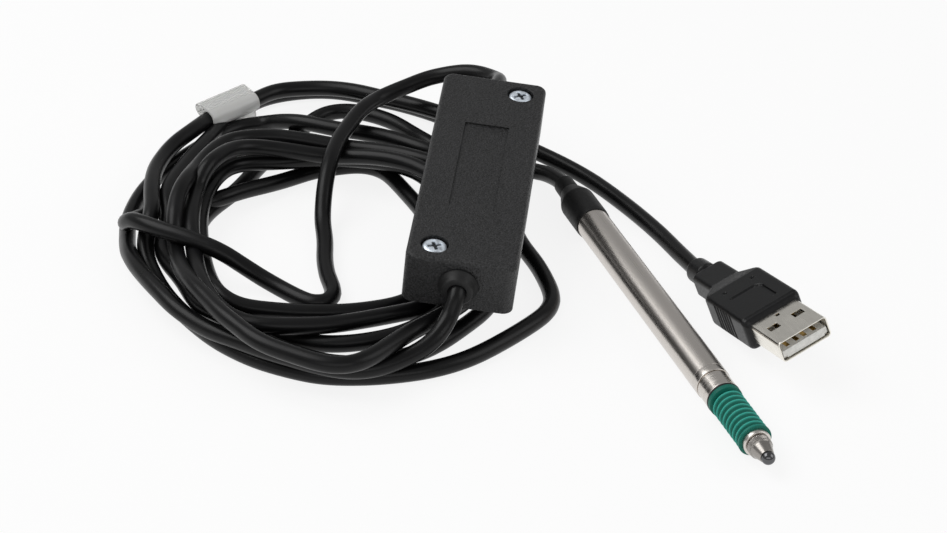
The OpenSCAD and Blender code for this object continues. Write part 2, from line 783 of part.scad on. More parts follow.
module grip_plan() {
    half = grip_w/2;
    side = concat(
        arc(half - grip_front_r, shell_len + grip_front_r, grip_front_r, -90, 0, 4),
        arc(half - 1.4, grip_end - shoulder, 1.4, 0, 45, 4),
        [[4.6, grip_end - shoulder + half - 4.02], [4.3, grip_end - shoulder + half - 3.65],
         [4.2, grip_end - shoulder + half - 3.2], [4.2, neck_end - 6.4]]
    );
    polygon(concat(side, [for (i = [len(side) - 1:-1:0]) [-side[i][0], side[i][1]]]));
}

// The grip's side view: crowned front edge, flat run, taper to the neck
module grip_side() {
    top = grip_top;
    low = grip_top - grip_h;
    polygon(concat(
        [[shell_len, top - 1.75], [shell_len + 1.3, top - 0.25], [shell_len + 1.5, top - 0.08],
         [shell_len + 1.75, top], [grip_end - 3, top]],
        [[grip_end + 1.5, top - 0.9], [neck_end - 6.4, top - 1.1],
         [neck_end - 6.4, low + 1.1], [grip_end + 1.5, low + 0.9], [grip_end - 3, low]],
        arc(shell_len + 1.2, low + 1.2, 1.2, 270, 180, 4)
    ));
}

// Moulded grip: plan, side and end view crossed, then ribs, recess and strain relief
module plug_grip() {
    color([0.09, 0.09, 0.095]) in_plug() difference() {
        union() {
            intersection() {
                translate([0, 0, -2*grip_h]) linear_extrude(4*grip_h) grip_plan();
                rotate([90, 0, 90]) linear_extrude(2*grip_w, center = true) grip_side();
                translate([0, 0, grip_mid]) rotate([-90, 0, 0])
                    linear_extrude(2*neck_end) round_rect(grip_w, grip_h, 1.2);
            }
            translate([0, 0, grip_mid]) rotate([-90, 0, 0]) {
                translate([0, 0, neck_end - 6.5]) cylinder(r = 2.6, h = 1.2);
                translate([0, 0, neck_end - 5.4]) cylinder(r = neck_r, h = 5.4);
            }
        }
        shell_tube(shell_w, shell_h, shell_corner, shell_len + shell_tail);
        for (s = [-1, 1], i = [0:5])
            translate([s*(grip_w/2 + 0.12), shell_len + 7 + 1.3*i, -2*grip_h])
                cylinder(r = 0.5, h = 4*grip_h, $fn = 24);
        grip_groove();
        for (x = [-1, 1]) translate([3.73*x - 0.35, shell_len + 14.4, grip_top - 0.3])
            cube([0.7, 0.7, 1]);
        translate([0, grip_end + neck_len/2, grip_mid]) rotate([-90, 0, 0])
            cylinder(r = lead_r, h = neck_len);
    }
}

// Rounded hook-shaped groove in the top of the grip
module grip_groove() {
    depth = 0.35;
    wide = 0.9;
    turn_r = 2.2;
    front = shell_len + 4.2;
    back = shell_len + 11.75;
    right = 3.75;
    left = -3.8;
    translate([0, 0, grip_top - depth]) linear_extrude(1) {
        translate([right - wide/2, front]) square([wide, back - turn_r - front]);
        translate([right - turn_r, back - turn_r]) intersection() {
            difference() {
                circle(turn_r + wide/2);
                circle(turn_r - wide/2);
            }
            square(2*turn_r);
        }
        translate([left, back - wide/2]) square([right - turn_r - left, wide]);
    }
}

module probe_lead() {
    lead(probe_route);
}

module usb_lead() {
    lead(usb_route);
}

module front_lead() {
    lead(front_route);
}

module rear_lead() {
    lead(rear_route);
}

// Outline with two round ends, centred on the bundle
module stadium(r) {
    square([2*r, coil_span], center = true);
    for (s = [-1, 1]) translate([0, s*coil_span/2]) circle(r);
}

// The laid-up turns of both leads as one ring, with a pocket for the marker sleeve
module cable_coil() {
    color([0.1, 0.1, 0.105]) difference() {
        translate([coil_mid[0], coil_mid[1], floor_z]) linear_extrude(coil_h) difference() {
            stadium(coil_r);
            stadium(hole_r);
        }
        in_clip() translate([-clip_len/2 - 0.4, -clip_r - 0.4, -3*clip_r])
            cube([clip_len + 0.8, clip_r + clip_side[0] + clip_small_r + 0.8, 9*clip_r]);
    }
}

module in_clip() {
    translate([clip_at[0], clip_at[1], floor_z + clip_up]) rotate([0, 0, clip_turn]) children();
}

// Clear marker sleeve: a bore for the lead, a small tube beside it and a foot that hangs to the floor
module cable_clip() {
    foot_w = 0.6;
    ribs = 4;
    sunk = 0.05;
    slope = atan2(clip_side[1], clip_side[0]);
    fan = acos((clip_r - clip_small_r)/norm(clip_side));
    lift = [cos(slope + fan), sin(slope + fan)];
    fall = [cos(slope - fan), sin(slope - fan)];
    color([0.9, 0.9, 0.82, 0.6]) in_clip() rotate([90, 0, 90]) translate([0, 0, -clip_len/2])
        difference() {
            union() {
                cylinder(r = clip_r, h = clip_len);
                translate(clip_side) cylinder(r = clip_small_r, h = clip_len);
                linear_extrude(clip_len) polygon([
                    (clip_r - sunk)*lift, clip_side + (clip_small_r - sunk)*lift,
                    clip_side + (clip_small_r - sunk)*fall, (clip_r - sunk)*fall
                ]);
                for (i = [1:ribs]) {
                    t = i/(ribs + 1);
                    translate(t*clip_side + ((1 - t)*clip_r + t*clip_small_r)*lift)
                        cylinder(r = 0.2, h = clip_len, $fn = 16);
                }
                translate([-1.5*foot_w, 0.2 - clip_up])
                    cube([foot_w, clip_up - 0.2 - clip_bore - clip_wall/2, clip_len]);
            }
            translate([0, 0, -1]) cylinder(r = clip_bore, h = clip_len + 2);
            translate([clip_side[0], clip_side[1], -1]) cylinder(r = clip_small_r - 0.4, h = clip_len + 2);
        }
}

stem();
nose_piece();
guide_bush();
anti_rotation_pin();
spring_seat();
bobbin();
windings();
rear_plug();
boot();
gaiter_ring();
ball_cage();
guide_balls();
plunger_rod();
stop_ring();
core_rod();
core();
tip_ring();
contact_tip();
tip_ball();
gaiter();
return_spring();
case_shell();
case_plate();
case_screws();
circuit_board();
board_parts();
front_grommet();
rear_grommet();
plug_shell();
plug_tongue();
plug_contacts();
plug_grip();
probe_lead();
usb_lead();
front_lead();
rear_lead();
cable_coil();
cable_clip();
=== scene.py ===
"""Visual model of a sprung measuring probe, its interface box, its USB plug and its two cords."""
import math

import bmesh
import bpy
import numpy as np
from mathutils import Matrix, Vector


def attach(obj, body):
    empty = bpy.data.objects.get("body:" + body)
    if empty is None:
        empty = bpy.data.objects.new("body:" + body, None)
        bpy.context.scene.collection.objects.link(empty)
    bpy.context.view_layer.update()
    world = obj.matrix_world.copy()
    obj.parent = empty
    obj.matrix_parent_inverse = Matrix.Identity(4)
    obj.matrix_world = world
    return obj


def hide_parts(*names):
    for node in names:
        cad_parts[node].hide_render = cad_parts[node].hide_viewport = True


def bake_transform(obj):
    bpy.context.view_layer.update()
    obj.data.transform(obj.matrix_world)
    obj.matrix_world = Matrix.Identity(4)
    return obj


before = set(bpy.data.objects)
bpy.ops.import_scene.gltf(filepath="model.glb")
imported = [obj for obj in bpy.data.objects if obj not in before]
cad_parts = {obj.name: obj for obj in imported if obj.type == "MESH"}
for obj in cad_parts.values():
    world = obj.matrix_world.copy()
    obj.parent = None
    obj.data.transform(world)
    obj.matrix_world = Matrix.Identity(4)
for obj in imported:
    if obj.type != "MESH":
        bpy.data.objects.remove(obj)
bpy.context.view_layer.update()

bl_info = {
    "name": "Measuring probe",
    "version": (1, 0, 0),
    "blender": (4, 5, 0),
    "location": "View3D > Sidebar > Probe",
    "description": "Builds a sprung measuring probe with its interface box, plug and cords",
    "category": "Add Mesh",
}

MM = 0.001
BODY = "probe"
TIP_BODY = "plunger"

# Stations along the probe and heights, in millimetres, as in the part's source
FLOOR = -4.3
Y_JOINT = -27.7
Y_FRONT = -30.0
Y_COLLAR = -35.2
Y_CLAMP = -35.7
Y_SPIGOT = -36.2
Y_WAVE = -37.3
Y_RING_END = -50.95
Y_CUFF = -51.7
Y_TIP = -52.95
Y_CONE = -54.85
Y_CONE_END = -57.55
Y_BALL = -58.02
Y_BOOT = 41.0
Y_STEM_REAR = 50.0
Y_BOOT_END = 61.0

# The box and the plug: where their own origin is, and how they are turned in degrees
CASE_AT = np.array((-28.3, 42.3, 20.6))
CASE_TURN = (4.5, 6.0, -24.8)
PLUG_AT = np.array((19.4, -31.5, 10.6))
PLUG_TURN = (-11.6, -17.0, 8.67)
# The end of the plug's neck in the plug's frame, how far below the lid's top the cords leave the
# box, and the marker sleeve's middle and its turn about the vertical
PLUG_NECK_END = 48.45
GLAND_DROP = 6.4
SLEEVE_AT = np.array((-68.25, 121.4, 1.7))
SLEEVE_TURN = 24.9


# ---------------------------------------------------------------- sizes that a user may change

def length(name, text, millimetres):
    """A size in metres whose default is given in millimetres."""
    return bpy.props.FloatProperty(
        name=name, description=text, default=millimetres * MM, min=0.0, unit="LENGTH", precision=5
    )


def colour(name, text, default):
    """A colour that is picked in the panel."""
    return bpy.props.FloatVectorProperty(
        name=name, description=text, default=default, size=3, min=0.0, max=1.0, subtype="COLOR"
    )


def number(name, text, default, low=0.0):
    """A plain number of the panel."""
    return bpy.props.FloatProperty(name=name, description=text, default=default, min=low)


def whole(name, text, default, low, high):
    """A whole number of the panel."""
    return bpy.props.IntProperty(name=name, description=text, default=default, min=low, max=high)


class ProbeSizes(bpy.types.PropertyGroup):
    """Sizes of the probe itself."""

    stem_d: length("Stem", "Outer diameter of the clamping stem", 8.0)
    collar_d: length("Collar", "Diameter of the collar in front of the flange", 7.64)
    clamp_ring_d: length("Clamp ring", "Diameter of the black ring behind the gaiter", 7.8)
    gaiter_d: length("Gaiter", "Diameter over the gaiter's ridges", 7.35)
    ridge_depth: length("Ridge", "Depth of a valley under a ridge", 0.75)
    cuff_d: length("Front cuff", "Diameter of the gaiter's front cuff", 7.5)
    rear_cuff_d: length("Rear cuff", "Diameter of the gaiter's rear cuff", 7.7)
    tip_ring_d: length("Tip ring", "Diameter of the steel ring at the tip", 6.16)
    knurl_d: length("Knurl", "Diameter of the knurled base", 5.2)
    cone_end_d: length("Cone end", "Diameter of the cone where it holds the ball", 3.2)
    ball_d: length("Ball", "Diameter of the contact ball", 3.0)
    boot_d: length("Boot", "Diameter of the boot over the stem", 8.6)
    boot_neck_d: length("Boot neck", "Diameter of the boot's narrow end", 5.0)
    gaiter_ridges: whole("Ridges", "Ridges along the gaiter", 8, 5, 10)


class BoxSizes(bpy.types.PropertyGroup):
    """Sizes of the interface box."""

    width: length("Width", "Width of the box", 25.0)
    long: length("Length", "Length of the box", 76.0)
    height: length("Height", "Height of the box", 12.5)
    wall: length("Wall", "Wall of the box", 1.5)
    corner: length("Corner", "Radius of the upright corners", 2.5)
    edge: length("Edge", "Rounding of the top edge", 1.0)
    label_w: length("Recess width", "Width of the bare label recess", 10.5)
    label_l: length("Recess length", "Length of the bare label recess", 34.5)
    label_t: length("Recess depth", "Depth of the bare label recess", 0.4)
    screw_x: length("Screw X", "Sideways distance of each screw", 6.5)
    screw_y: length("Screw Y", "Lengthways distance of each screw", 32.4)
    screw_d: length("Screw head", "Diameter of the screw heads", 5.4)
    screw_sink: length("Screw sink", "Depth of the screw heads below the lid", 0.4)
    grommet_d: length("Grommet", "Diameter of each grommet at the wall", 9.0)
    grommet_l: length("Grommet length", "Length that each grommet stands out", 2.7)


class PlugSizes(bpy.types.PropertyGroup):
    """Sizes of the USB plug."""

    shell_w: length("Shell width", "Width of the metal shell", 12.0)
    shell_h: length("Shell height", "Height of the metal shell", 4.5)
    shell_l: length("Shell length", "Length of the shell in front of the grip", 11.75)
    shell_t: length("Shell wall", "Wall of the metal shell", 0.3)
    grip_w: length("Grip width", "Width of the moulded grip", 15.0)
    grip_l: length("Grip length", "Length of the grip's wide part", 20.2)
    neck_l: length("Neck", "Length of the neck and strain relief", 16.5)


class CordSizes(bpy.types.PropertyGroup):
    """Sizes of the two cords."""

    diameter: length("Cord", "Diameter of both cords", 4.0)
    sides: whole("Sides", "Sides of a cord's round section", 18, 8, 32)


class StageSizes(bpy.types.PropertyGroup):
    """Camera, floor and light."""

    lens: number("Lens", "Focal length on a 36 mm sensor", 95.04, 20.0)
    daylight: number("Surround", "Strength of the even light from all round", 0.36)
    key: number("Key", "Strength of the main soft light", 3.0)


class Colours(bpy.types.PropertyGroup):
    """Colours of the finishes."""

    steel: colour("Steel", "Stainless steel of the stem and tip", (0.68, 0.64, 0.60))
    gaiter: colour("Gaiter", "Green rubber of the gaiter", (0.003, 0.25, 0.18))
    box: colour("Box", "Moulded box", (0.0125, 0.0125, 0.013))
    cord: colour("Cord", "Jacket of the cords", (0.0032, 0.0032, 0.0035))
    grip: colour("Grip", "Moulding of the plug", (0.0035, 0.0037, 0.0042))
    nickel: colour("Nickel", "Shell of the plug", (0.88, 0.85, 0.78))
    zinc: colour("Zinc", "Screws of the box", (0.80, 0.87, 0.95))


# ---------------------------------------------------------------- mesh making

def grid_faces(rows, columns, wrap_rows=False):
    """Quads of a grid of rows by columns, numbered row by row. The columns run all the way round,
    and the rows do where asked."""
    r = np.arange(rows if wrap_rows else rows - 1)[:, None]
    c = np.arange(columns)[None, :]
    r2, c2 = (r + 1) % rows, (c + 1) % columns
    quads = np.stack(np.broadcast_arrays(
        r * columns + c, r * columns + c2, r2 * columns + c2, r2 * columns + c), -1)
    return quads.reshape(-1, 4)


def fan(ring, centre):
    """Triangles from each side of a ring of vertex numbers to one centre vertex."""
    ring = np.asarray(ring)
    return np.stack((ring, np.roll(ring, -1), np.full(len(ring), centre)), -1)


def signed_volume(points, quads, tris):
    """Volume inside a closed set of faces, negative where they point inwards."""
    parts = [tris] if len(tris) else []
    if len(quads):
        parts += [quads[:, (0, 1, 2)], quads[:, (0, 2, 3)]]
    t = np.vstack(parts)
    a, b, c = points[t[:, 0]], points[t[:, 1]], points[t[:, 2]]
    return float(np.einsum("ij,ij->", a, np.cross(b, c))) / 6


def set_out(name, mesh, sharp=38.0, weighted=True):
    """A mesh as a smooth object at the origin, with a hard line at edges past an angle."""
    mesh.shade_smooth()
    mesh.set_sharp_from_angle(angle=math.radians(sharp))
    piece = bpy.data.objects.new(name, mesh)
    bpy.context.scene.collection.objects.link(piece)
    if weighted:
        piece.modifiers.new("Even normals", "WEIGHTED_NORMAL").keep_sharp = True
    return piece


def make_piece(name, points, quads=(), tris=(), sharp=38.0, closed=True, uv=None, weighted=True):
    """A mesh object at the origin from points in millimetres, with its faces turned outwards."""
    points = np.asarray(points, float)
    quads = np.asarray(quads, int).reshape(-1, 4)
    tris = np.asarray(tris, int).reshape(-1, 3)
    if closed and signed_volume(points, quads, tris) < 0:
        quads, tris = quads[:, ::-1], tris[:, ::-1]
        uv = None if uv is None else (uv[0][:, ::-1], uv[1][:, ::-1])
    mesh = bpy.data.meshes.new(name)
    mesh.vertices.add(len(points))
    mesh.vertices.foreach_set("co", (points * MM).ravel())
    corners = np.concatenate((quads.ravel(), tris.ravel()))
    mesh.loops.add(len(corners))
    mesh.loops.foreach_set("vertex_index", corners)
    starts = np.concatenate((np.arange(len(quads)) * 4, len(quads) * 4 + np.arange(len(tris)) * 3))
    mesh.polygons.add(len(starts))
    mesh.polygons.foreach_set("loop_start", starts)
    if uv is not None:
        layer = mesh.uv_layers.new(name="UVMap")
        layer.data.foreach_set("uv", np.concatenate([part.reshape(-1) for part in uv]))
    mesh.update(calc_edges=True)
    mesh.validate()
    return set_out(name, mesh, sharp, weighted)


def join_parts(parts):
    """Several (points, quads, tris) sets as one, with the later ones' numbers moved up."""
    points, quads, tris, first = [], [], [], 0
    for p, q, t in parts:
        points.append(np.asarray(p, float))
        quads.append(np.asarray(q, int).reshape(-1, 4) + first)
        tris.append(np.asarray(t, int).reshape(-1, 3) + first)
        first += len(p)
    return np.vstack(points), np.vstack(quads), np.vstack(tris)


def turned_out(part):
    """A closed (points, quads, tris) set with its faces pointing outwards."""
    points, quads, tris = (np.asarray(x) for x in part)
    quads, tris = quads.reshape(-1, 4), tris.reshape(-1, 3)
    if signed_volume(points, quads, tris) < 0:
        quads, tris = quads[:, ::-1], tris[:, ::-1]
    return points, quads, tris


def paint(piece, name, values):
    """Gives each vertex of a piece a value that its material reads."""
    layer = piece.data.attributes.new(name, "FLOAT", "POINT")
    layer.data.foreach_set("value", values)


def filleted(corners, closed=False, steps=5):
    """Corners (a, b, radius) of an outline, each rounded by an arc tangent to both its sides:
    point = centre + (sin((1 - t) w) start + sin(t w) end) / sin(w), with w the arc's angle."""
    out = []
    last = len(corners) - 1
    for i, (a, b, radius) in enumerate(corners):
        here = np.array((a, b), float)
        if radius <= 0 or (not closed and i in (0, last)):
            out.append(here)
            continue
        before = np.array(corners[i - 1][:2], float) - here
        after = np.array(corners[0 if i == last else i + 1][:2], float) - here
        before_l, after_l = np.linalg.norm(before), np.linalg.norm(after)
        before, after = before / before_l, after / after_l
        half = math.acos(max(-1.0, min(1.0, float(before @ after)))) / 2
        if half > math.pi / 2 - 1e-3:
            out.append(here)
            continue
        reach = min(radius / math.tan(half), 0.49 * before_l, 0.49 * after_l)
        radius = reach * math.tan(half)
        middle = before + after
        centre = here + middle / np.linalg.norm(middle) * (radius / math.sin(half))
        start, end = here + before * reach - centre, here + after * reach - centre
        sweep = math.pi - 2 * half
        for t in np.arange(steps + 1) / steps:
            blend = math.sin((1 - t) * sweep) * start + math.sin(t * sweep) * end
            out.append(centre + blend / math.sin(sweep))
    return np.array(out)


def spun(profile, closed=False, turns=96, ripple=None):
    """Profile points (radius, station) spun about Y: x = r cos a, y = station, z = r sin a.
    A first or last point of radius 0 becomes one pole vertex. ripple(angle, station, radius) is
    added to the radius."""
    profile = np.asarray(profile, float)
    angle = np.linspace(0, 2 * math.pi, turns, endpoint=False)
    first_pole = int(not closed and profile[0, 0] < 1e-6)
    last_pole = int(not closed and profile[-1, 0] < 1e-6)
    rows = profile[first_pole:len(profile) - last_pole]
    radius = np.repeat(rows[:, :1], turns, axis=1)
    station = np.repeat(rows[:, 1:], turns, axis=1)
    if ripple is not None:
        radius = radius + ripple(angle[None, :], station, radius)
    points = np.stack((radius * np.cos(angle), station, radius * np.sin(angle)), -1)
    points = points.reshape(-1, 3)
    quads = grid_faces(len(rows), turns, wrap_rows=closed)
    tris = []
    if first_pole:
        points = np.vstack((points, (0, profile[0, 1], 0)))
        tris.append(fan(np.arange(turns)[::-1], len(points) - 1))
    if last_pole:
        points = np.vstack((points, (0, profile[-1, 1], 0)))
        tris.append(fan(np.arange(turns) + (len(rows) - 1) * turns, len(points) - 1))
    return points, quads, np.vstack(tris) if tris else np.zeros((0, 3), int)


def turn_matrix(turn):
    """Rotation by degrees about x, then y, then z."""
    a, b, c = (math.radians(t) for t in turn)
    about_x = ((1, 0, 0), (0, math.cos(a), -math.sin(a)), (0, math.sin(a), math.cos(a)))
    about_y = ((math.cos(b), 0, math.sin(b)), (0, 1, 0), (-math.sin(b), 0, math.cos(b)))
    about_z = ((math.cos(c), -math.sin(c), 0), (math.sin(c), math.cos(c), 0), (0, 0, 1))
    return np.array(about_z) @ np.array(about_y) @ np.array(about_x)


def in_case(points):
    """Points of the box's own frame, whose origin is the middle of the lid's outer face."""
    return np.asarray(points, float) @ turn_matrix(CASE_TURN).T + CASE_AT


def in_plug(points):
    """Points of the plug's own frame, whose origin is the middle of the mouth's top edge."""
    return np.asarray(points, float) @ turn_matrix(PLUG_TURN).T + PLUG_AT


def round_outline(width, long, radius, steps=10):
    """A rectangle with round corners as a closed ring of (x, y) points, with the same count each
    time: corner middle + radius (cos a, sin a)."""
    radius = min(radius, width / 2 - 1e-4, long / 2 - 1e-4)
    turn = np.linspace(0, math.pi / 2, steps + 1)
    ring = []
    for quarter, (sx, sy) in enumerate(((1, 1), (-1, 1), (-1, -1), (1, -1))):
        a = turn + quarter * math.pi / 2
        ring.append(np.stack((
            sx * (width / 2 - radius) + radius * np.cos(a),
            sy * (long / 2 - radius) + radius * np.sin(a)), -1))
    return np.vstack(ring)


def finish_piece(piece, material, body=BODY, nodes=()):
    """Gives a piece its material and slot, and makes it ride on its body and stand for nodes."""
    piece.data.materials.clear()
    piece.data.materials.append(material)
    if body is not None:
        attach(piece, body)
    if nodes:
        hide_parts(*nodes)


def turn_piece(name, corners, material, node, body=BODY, turns=96, steps=5):
    """A finished piece whose closed outline of corners (radius, station, rounding) is rounded and
    spun about Y."""
    profile = filleted(corners, closed=True, steps=steps)
    piece = make_piece(name, *spun(profile, closed=True, turns=turns))
    finish_piece(piece, material, body, (node,))


# ---------------------------------------------------------------- finishes

def picked(name):
    """A colour as it stands in the panel."""
    return tuple(getattr(bpy.context.scene.probe_colours, name))


class Finish:
    """A node material that is put together step by step."""

    def __init__(self, name, base, roughness, **sockets):
        self.material = bpy.data.materials.get(name) or bpy.data.materials.new(name)
        self.material.use_nodes = True
        tree = self.material.node_tree
        tree.nodes.clear()
        self.nodes, self.links = tree.nodes, tree.links
        self.output = self.node("OutputMaterial")
        self.shader = self.node(
            "BsdfPrincipled", Base_Color=(*base, 1), Roughness=roughness, **sockets)
        self.feed(self.output.inputs["Surface"], self.shader.outputs[0])
        self.base = base
        self.normal = None
        self.coordinates = self.node("TexCoord")

    def feed(self, socket, value):
        """Links an output to a socket, or sets the socket to a plain value."""
        if isinstance(value, bpy.types.NodeSocket):
            self.links.new(value, socket)
        else:
            socket.default_value = value

    def node(self, kind, **inputs):
        """A new node with its inputs linked or set. An underscore stands for a space."""
        node = self.nodes.new("ShaderNode" + kind)
        for key, value in inputs.items():
            self.feed(node.inputs[key.replace("_", " ")], value)
        return node

    def worked_out(self, operation, *values):
        """The result of a sum, a product or the like of outputs and plain numbers."""
        node = self.node("Math")
        node.operation = operation
        for socket, value in zip(node.inputs, values):
            self.feed(socket, value)
        return node.outputs[0]

    def painted(self, name):
        """The value that a piece's vertices carry under a name."""
        node = self.node("Attribute")
        node.attribute_name = name
        return node.outputs["Fac"]

    def stretched(self, stretch=(1, 1, 1), source="Object"):
        """Coordinates stretched along the axes."""
        return self.node(
            "Mapping", Vector=self.coordinates.outputs[source], Scale=stretch).outputs[0]

    def noise(self, scale, detail=2.0, stretch=(1, 1, 1), source="Object", rough=0.5):
        """Noise whose grain is so many per metre, stretched along the axes."""
        return self.node(
            "TexNoise", Vector=self.stretched(stretch, source), Scale=scale, Detail=detail,
            Roughness=rough).outputs["Fac"]

    def cells(self, scale):
        """Distance to the nearest of so many scattered points per metre."""
        return self.node(
            "TexVoronoi", Vector=self.stretched(), Scale=scale).outputs["Distance"]

    def ranged(self, value, low, high, to_low, to_high):
        """A value moved from one range to another, and kept inside it."""
        return self.node(
            "MapRange", Value=value, From_Min=low, From_Max=high, To_Min=to_low,
            To_Max=to_high).outputs[0]

    def tinted(self, value, low, high, dark, light):
        """The base colour times a factor that runs from dark to light with the value."""
        ramp = self.node("ValToRGB", Fac=value)
        ends = ramp.color_ramp.elements
        for element, position, factor in zip(ends, (low, high), (dark, light)):
            factor = factor if hasattr(factor, "__len__") else (factor,) * 3
            element.position = position
            element.color = (*[min(1.0, b * f) for b, f in zip(self.base, factor)], 1)
        self.feed(self.shader.inputs["Base Color"], ramp.outputs[0])

    def roughened(self, value, low, high, smooth, rough):
        """Roughness that follows a value."""
        self.feed(self.shader.inputs["Roughness"], self.ranged(value, low, high, smooth, rough))

    def bumped(self, value, height, strength=1.0):
        """A bump so many metres high, added to those before it."""
        node = self.node("Bump", Strength=strength, Distance=height, Height=value)
        if self.normal is not None:
            self.feed(node.inputs["Normal"], self.normal)
        self.normal = node.outputs[0]
        self.feed(self.shader.inputs["Normal"], self.normal)


def brushed_steel():
    """Satin stainless steel: fine streaks along the stem, faint cloudy marks, smooth bands."""
    f = Finish("Brushed stem steel", picked("steel"), 0.24, Metallic=1.0)
    clouds = f.noise(300, 2, (1, 0.04, 1))
    f.tinted(clouds, 0.3, 0.72, 0.94, 1.04)
    f.roughened(clouds, 0.3, 0.7, 0.24, 0.36)
    f.bumped(f.noise(3000, 3, (1, 0.02, 1)), 0.000001, 0.3)
    return f.material


def turned_steel(name="Turned steel", shade=1.0):
    """Lathe-turned steel: fine rings round the axis."""
    f = Finish(name, tuple(shade * c for c in picked("steel")), 0.22, Metallic=1.0)
    rings = f.noise(2600, 2, (0.03, 1, 0.03))
    f.tinted(f.noise(260, 2, (0.1, 1, 0.1)), 0.3, 0.7, 0.9, 1.03)
    f.roughened(rings, 0.35, 0.65, 0.2, 0.3)
    f.bumped(rings, 0.000001, 0.3)
    return f.material


def carbide():
    """Lapped ball: dark, nearly mirror smooth."""
    f = Finish("Lapped carbide", (0.13, 0.13, 0.135), 0.08, Metallic=1.0)
    f.tinted(f.noise(900, 3), 0.35, 0.7, 0.9, 1.0)
    f.roughened(f.noise(1400, 3), 0.4, 0.7, 0.05, 0.12)
    return f.material


def nickel():
    """Pressed and plated sheet: soft shine with faint rolling marks along the shell."""
    f = Finish("Nickel plate", picked("nickel"), 0.2, Metallic=1.0)
    marks = f.noise(1500, 3, (1, 0.08, 1))
    f.tinted(f.noise(210, 3), 0.3, 0.7, 0.93, 1.05)
    f.roughened(marks, 0.35, 0.65, 0.17, 0.29)
    f.bumped(marks, 0.000004)
    return f.material


def zinc():
    """Bluish zinc plate with fine pressing marks, and painted shade down in the cross recess."""
    f = Finish("Blue zinc", picked("zinc"), 0.3, Metallic=0.6)
    # Painted shade: the deeper a point lies in the cross recess, the darker its colour
    plating_and_recess_shade = f.worked_out("SUBTRACT", f.noise(900, 2), f.painted("recess"))
    f.tinted(plating_and_recess_shade, -0.4, 0.55, 0.05, 1.05)
    f.roughened(f.noise(1700, 2), 0.35, 0.7, 0.34, 0.46)
    f.bumped(f.noise(2600, 2), 0.000003)
    return f.material


def green_rubber():
    """Moulded rubber: matt in the valleys, a painted highlight along the ridges' tops, specks of
    dust.
    """
    f = Finish("Green rubber", picked("gaiter"), 0.5, Specular_IOR_Level=0.3)
    speck = f.noise(2600, 4, rough=0.7)
    # Painted highlight along the ridges' tops, with specks of dust mixed in
    ridge_highlight = f.worked_out("MULTIPLY_ADD", speck, 0.35, f.painted("ridge"))
    f.tinted(ridge_highlight, 0.25, 1.2, 0.55, (14, 1.7, 1.9))
    f.roughened(speck, 0.3, 0.7, 0.42, 0.6)
    f.bumped(speck, 0.00001)
    return f.material


def soft_black(name, base, rough=(0.42, 0.6), grain=1500, height=0.00001, level=0.4):
    """Moulded rubber or plastic: near black with a fine grain and slightly uneven shine."""
    f = Finish(name, base, rough[0], Specular_IOR_Level=level)
    marks = f.noise(grain, 4, rough=0.65)
    f.tinted(f.noise(230, 3), 0.3, 0.75, 0.85, 1.25)
    f.roughened(marks, 0.3, 0.7, *rough)
    f.bumped(marks, height)
    return f.material


def box_plastic():
    """Spark-eroded moulding: a coarse leathery grain of pits and mounds over the whole skin."""
    f = Finish("Eroded box plastic", picked("box"), 0.4, Specular_IOR_Level=0.42)
    pits = f.noise(2500)
    f.tinted(pits, 0.4, 0.64, 0.35, 2.4)
    f.roughened(pits, 0.35, 0.65, 0.3, 0.5)
    f.bumped(f.cells(2300), 0.0001, 0.9)
    f.bumped(pits, 0.00022)
    return f.material


def cord_jacket():
    """Smooth extruded jacket: half gloss, with long faint drawing marks and a few dull patches."""
    f = Finish("Cord jacket", picked("cord"), 0.34, Specular_IOR_Level=0.24)
    patches = f.noise(90, 3)
    f.tinted(patches, 0.3, 0.75, 0.8, 1.5)
    f.roughened(patches, 0.3, 0.7, 0.26, 0.38)
    f.bumped(f.noise(60, 4, (40, 1, 1), source="UV", rough=0.6), 0.000006)
    return f.material


def clear_plastic():
    """Clear flexible sleeve, slightly milky."""
    f = Finish(
        "Clear sleeve plastic", (0.97, 0.97, 0.955), 0.12, Transmission_Weight=0.5, IOR=1.42)
    f.roughened(f.noise(700, 3), 0.3, 0.7, 0.1, 0.25)
    f.bumped(f.noise(500), 0.00002)
    return f.material


def plain_finish(name, base, rough, metallic=0.0, grain=900):
    """A quiet finish for a piece inside: slight changes of tone and shine."""
    f = Finish(name, base, rough, Metallic=metallic)
    marks = f.noise(grain, 3)
    f.tinted(marks, 0.3, 0.7, 0.88, 1.08)
    f.roughened(marks, 0.3, 0.7, rough * 0.8, min(1.0, rough * 1.25))
    return f.material


# ---------------------------------------------------------------- cords

# The unit vector from the bundle towards the side that the view is taken from. Strands that cross
# are moved along it, so that the bundle keeps its look from there.
SIGHT = np.array((-0.276, -0.801, 0.53))


def placed(*rows):
    """Points (x, y, height over the floor) that keep their place while the cords settle."""
    return [(*row, 1.0) for row in rows]


def laid(*rows):
    """Points (x, y, height over the floor) that may settle."""
    return [(*row, 0.0) for row in rows]


def case_point(x, y, z):
    """A point of the box's frame as (x, y, height over the floor)."""
    p = in_case((x, y, z))
    return p[0], p[1], p[2] - FLOOR


def plug_point(x, y, z):
    """A point of the plug's frame as (x, y, height over the floor)."""
    p = in_plug((x, y, z))
    return p[0], p[1], p[2] - FLOOR


